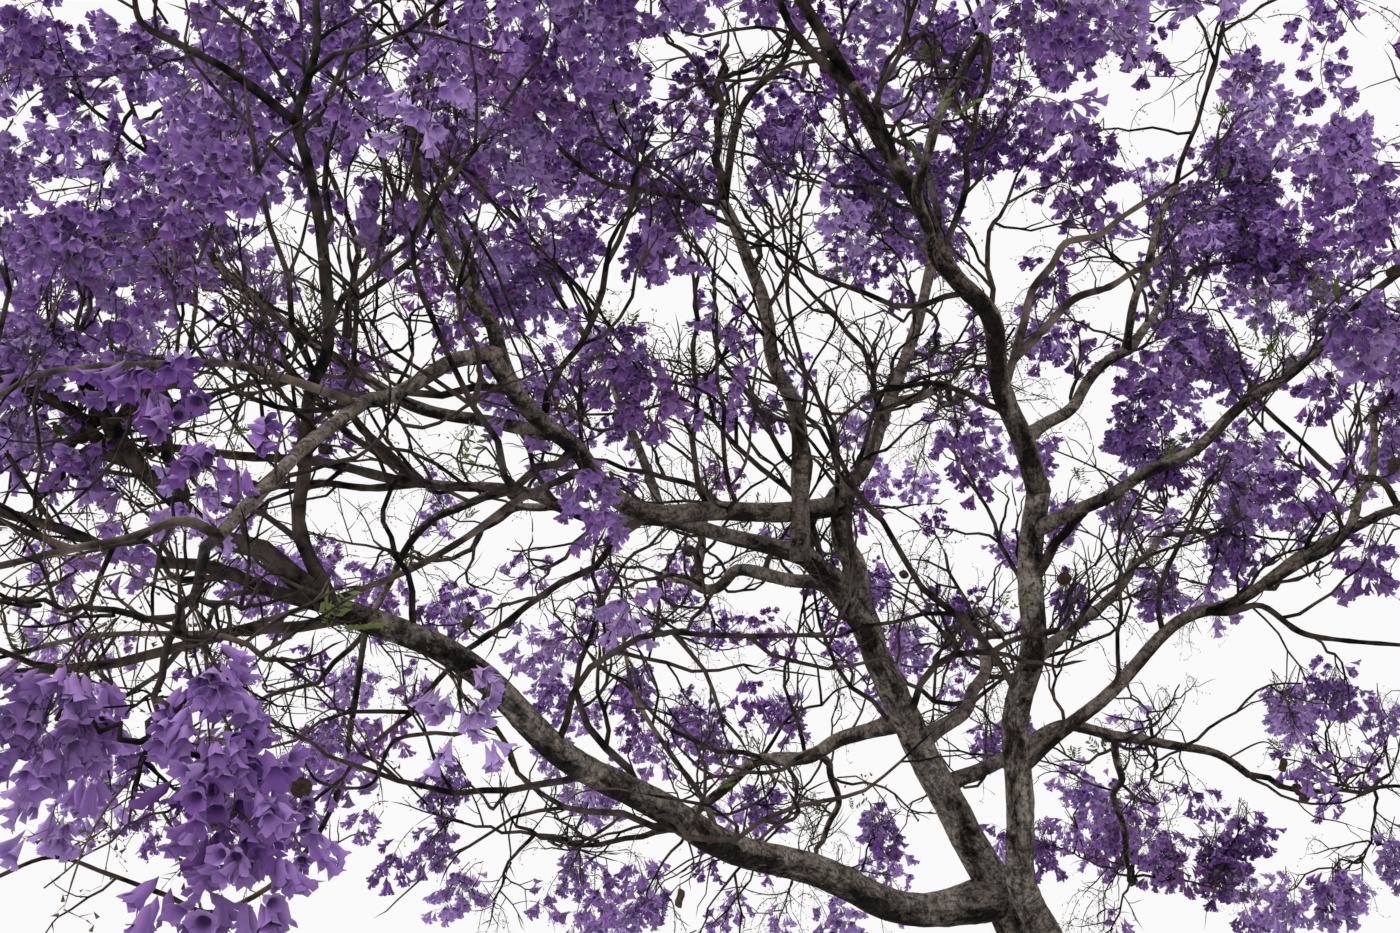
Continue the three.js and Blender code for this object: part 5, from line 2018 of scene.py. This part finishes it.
    def _hang_at(self, spot: Rows, foot: Rows, tint: Tint, dice: Dice) -> None:
        """Hangs a panicle so that its flowers' middle falls on a spot, from a twig with a foot of its own."""
        way = unit(spot - foot + dice.way() * 0.05 - UP * 0.02)
        panicle = self.store.pick(self.store.plain, way, dice)
        root = spot - about_up(math.atan2(way[1], way[0])) @ panicle.reach * 0.95
        hanger = np.array([foot, (foot + root) / 2 + dice.way() * 0.015, root])
        self.twigs.add(rod(hanger, np.array([0.0032, 0.0028, 0.0]), 3, pointed=True))
        self.hang_panicle(root, way, tint, dice, chosen=True)


@dataclass
class Shoots:
    """The bare crooked shoots that crowd the inside of the crown, each level thinner than the last."""

    crown: Crown
    spacing: float = 0.16  # metres of limb to a shoot
    clean_first: dict[str, float] = field(default_factory=lambda: {
        "trunk": 1.0, "leader": 0.75, "right_stem": 0.55, "long_bough": 0.42, "dead_stub": 1.0,
        "centre_bough": 0.3, "near_left_bough": 0.3,
    })  # the first share of these limbs that bears no shoots
    widest: float = 0.034  # a shoot's width at most, in metres and as a share of its limb's
    width_share: float = 0.5
    slenderness: float = 38.0  # its length, in its widths
    box_room: float = 0.1
    limb_room: float = 0.012
    flower_share: float = 0.14
    crook: float = 0.42
    lift: float = 0.07
    taper: float = 0.55
    joints: tuple[int, ...] = (9, 6, 4)  # these three have a value for each level
    sides: tuple[int, ...] = (6, 4, 3)
    forks: tuple[int, ...] = (4, 2)
    fork_width: float = 0.6
    tip_length: float = 0.4  # the shoot that carries on from a shoot's end, as shares of it
    tip_width: float = 0.55
    thick_lead: float = 0.02
    lead_step: int = 5  # points of a lead's line to a side shoot
    lead_tip: float = 0.45
    lead_tip_slenderness: float = 12.0

    def grow(self) -> None:
        """Grows shoots along every limb but the clean ones."""
        for index, curve in enumerate(self.crown.skeleton.curves.values()):
            dice = Dice(Seed.SHOOTS + index)
            first = self.clean_first.get(curve.limb.name, 0.14)
            count = int((1 - first) * curve.length / self.spacing)
            for k in range(count):
                u = first + (1 - first) * (k + dice.between(0.1, 0.9)) / count
                self._side_shoot(curve, u, k, dice)

    def grow_leads(self) -> None:
        """Grows the shoots that stand out in the picture, with thinner shoots on them."""
        fractions = np.linspace(0, 1, 80)
        lines = {name: curve.point(fractions) for name, curve in self.crown.skeleton.curves.items()}
        for index, lead in enumerate(LEADS):
            seen = np.array([VIEW.seen(point) for point in lines[lead.parent]])
            nearest = int(np.argmin(np.hypot(seen[:, 0] - lead.path[0][0], seen[:, 1] - lead.path[0][1])))
            depths = seen[nearest, 2] - lead.nearer * np.linspace(0, 1, len(lead.path))
            passed = [VIEW.place(x, y, depth) for (x, y), depth in zip(lead.path, depths)]
            lines[lead.name] = rounded(np.array([lines[lead.parent][nearest], *passed[1:]]))
            self._dress_lead(lead, lines[lead.name], Dice(Seed.LEAD + index))

    def _dress_lead(self, lead: Lead, line: Rows, dice: Dice) -> None:
        """Makes one lead's wood, the thinner shoots on it and what hangs at its end."""
        radii = lead.width / 2 * np.linspace(1, 0.5, len(line))
        radii = radii * np.array([dice.between(0.9, 1.12) for _ in line])
        # painted light: a shoot in full light takes the paler copy of the twig bark
        wood = self.crown.painted_light_twigs if lead.pale else self.crown.twigs
        wood.add(rod(line, radii, (5, 8)[lead.width > self.thick_lead]))
        if lead.pod:
            turn = about_up(dice.between(0, math.pi))
            self.crown.pods.add(self.crown.store.pods[0].placed(turn, 1.1, line[-1]))
            return
        for k, foot in enumerate(range(self.lead_step, len(line) - 1, self.lead_step)):
            run = unit(line[foot + 1] - line[foot])
            side = turned(aside(run), run, GOLDEN_ANGLE * k + dice.between(0, 1))
            width = self.width_share * lead.bushy * lead.width * dice.between(0.7, 1.0)
            length = self.slenderness * width * dice.between(0.7, 1.1)
            self._shoot(line[foot], unit(side + 0.7 * run), length, width, 1, dice)
        length = self.lead_tip_slenderness * lead.width
        self._shoot(line[-1], end_way(line), length, self.lead_tip * lead.width, 1, dice)

    def _side_shoot(self, curve: LimbCurve, u: float, number: int, dice: Dice) -> None:
        """One shoot from the side of a limb."""
        tangent = curve.tangent(u)
        side = turned(unit(np.cross(tangent, UP)), tangent, GOLDEN_ANGLE * number + dice.between(-0.4, 0.4))
        way = unit(side + tangent * 0.7 + UP * 0.3)
        width = min(self.widest, self.width_share * curve.width(u)) * dice.between(0.6, 1.0)
        length = self.slenderness * width * dice.between(0.7, 1.2)
        self._shoot(curve.point(u), way, length, width, 0, dice)

    def _shoot(self, start: Rows, way: Rows, length: float, width: float, level: int, dice: Dice) -> None:
        """A shoot, the shoots that fork from it, and what hangs at its end.

        Args:
            start: Where it leaves its parent.
            way: The way it sets out.
            length: Its length.
            width: Its width at its foot.
            level: How many shoots it is removed from a limb.
            dice: The run of numbers for its turns.
        """
        joints = self.joints[level]
        line = crooked(start, way, length, joints, self.crook, self.lift, dice)
        if not self.crown.inside(line[-1], self.box_room) or self.crown.in_gap(line[-1]):
            return
        last = level == len(self.forks)
        clear = self.crown.skeleton.clearance(line[3:])
        if float(np.min(clear)) < self.limb_room and not last:
            return
        radii = width / 2 * np.linspace(1, self.taper, len(line))
        self.crown.twigs.add(rod(line, radii, self.sides[level], pointed=level > 0))
        if last:
            self._end(line[-1], end_way(line), dice)
            return
        for k in range(self.forks[level]):
            place = min(2 + int((joints - 2) * (k + dice.roll()) / self.forks[level]), joints - 1)
            run = unit(line[place + 1] - line[place])
            side = turned(aside(run), run, GOLDEN_ANGLE * k + dice.between(0, 6.28))
            fork_length = length * dice.between(0.36, 0.55)
            fork_way = unit(side * 0.9 + run)
            self._shoot(line[place], fork_way, fork_length, width * self.fork_width, level + 1, dice)
        length *= self.tip_length
        self._shoot(line[-1], end_way(line), length, width * self.tip_width, level + 1, dice)

    def _end(self, end: Rows, way: Rows, dice: Dice) -> None:
        """Ends a thin shoot in flowers or bare."""
        blooms = dice.roll() < self.flower_share * self.crown.fullness(end)
        if not (blooms and self.crown.hang_panicle(end, way, Tint.dealt(dice.roll()), dice)):
            self.crown.end_bare(end, way, dice)


@dataclass
class Studio:
    """The floor, the lights and the camera at the photograph's viewing angle."""

    view: View
    floor_size: float = 60.0
    sky: tuple[float, ...] = (0.96, 0.95, 0.955, 1.0)
    sky_strength: float = 1.0
    sun_strength: float = 2.3
    sun_width: float = 50.0  # degrees across, and how far it is turned from straight above and round
    sun_lean: float = 50.0
    sun_turn: float = -66.0

    def build(self) -> None:
        """Makes the camera, the world, the lights and the floor."""
        self._camera()
        self._lights()
        self._floor()

    def _camera(self) -> None:
        """The camera, level at the viewer's eye and turned up into the crown."""
        data = bpy.data.cameras.new("camera")
        data.lens = self.view.lens
        data.sensor_width = self.view.sensor
        data.clip_end = 200.0
        camera = bpy.data.objects.new("camera", data)
        camera.location = self.view.eye
        camera.rotation_euler = (math.radians(90 + self.view.look_up), 0, 0)
        bpy.context.scene.collection.objects.link(camera)
        bpy.context.scene.camera = camera

    def _lights(self) -> None:
        """A pale even sky and one large soft sun."""
        scene = bpy.context.scene
        scene.view_settings.view_transform = "Standard"
        world = bpy.data.worlds.new("pale_sky")
        scene.world = world
        world.use_nodes = True
        background = world.node_tree.nodes["Background"]
        background.inputs["Color"].default_value = self.sky
        background.inputs["Strength"].default_value = self.sky_strength
        data = bpy.data.lights.new("soft_sun", "SUN")
        data.energy = self.sun_strength
        data.angle = math.radians(self.sun_width)
        sun = bpy.data.objects.new("soft_sun", data)
        sun.rotation_euler = (math.radians(self.sun_lean), 0, math.radians(self.sun_turn))
        scene.collection.objects.link(sun)

    def _floor(self) -> None:
        """The plain pale floor under the tree's foot."""
        bm = bmesh.new()
        bmesh.ops.create_grid(bm, x_segments=4, y_segments=4, size=self.floor_size / 2)
        mesh = bpy.data.meshes.new("floor")
        bm.to_mesh(mesh)
        bm.free()
        mesh.materials.append(FLOOR.material())
        floor = bpy.data.objects.new("floor", mesh)
        bpy.context.scene.collection.objects.link(floor)


def main() -> None:
    """Builds the studio, the bark, the crown and its shoots, in that order."""
    logging.basicConfig(level=logging.INFO, format="%(name)s: %(message)s")
    Studio(VIEW).build()
    skeleton = Skeleton(LIMBS)
    old, young, dead = (finish.material() for finish in (OLD_BARK, YOUNG_BARK, DEAD_BARK))
    for limb in LIMBS:
        parent = skeleton.curves[limb.parent] if limb.parent else None
        sleeve = BarkSleeve(skeleton.curves[limb.name], parent)
        bark = old if limb.base > OLD_FROM else young
        sleeve.dress(sleeve.build(), dead if limb.name == DEAD_LIMB else bark)
    lowest, highest = (np.array(corner) for corner in solid_box)
    crown = Crown(skeleton, CrownRule(skeleton), PanicleStore(), lowest, highest)
    for index in range(len(MASSES)):
        crown.grow_mass(index)
    for number, bunch in enumerate(BUNCHES):
        crown.grow_bunch(bunch, Seed.BUNCH + number)
    shoots = Shoots(crown)
    shoots.grow()
    shoots.grow_leads()
    masses = [f"blossom_{mass.name}" for mass in MASSES]
    wood = (crown.twigs, crown.painted_light_twigs, crown.stalks)
    for gathering in (*wood, *crown.flowers.values(), crown.pods, crown.leaves):
        gathering.publish(masses)


if __name__ == "__main__":
    main()
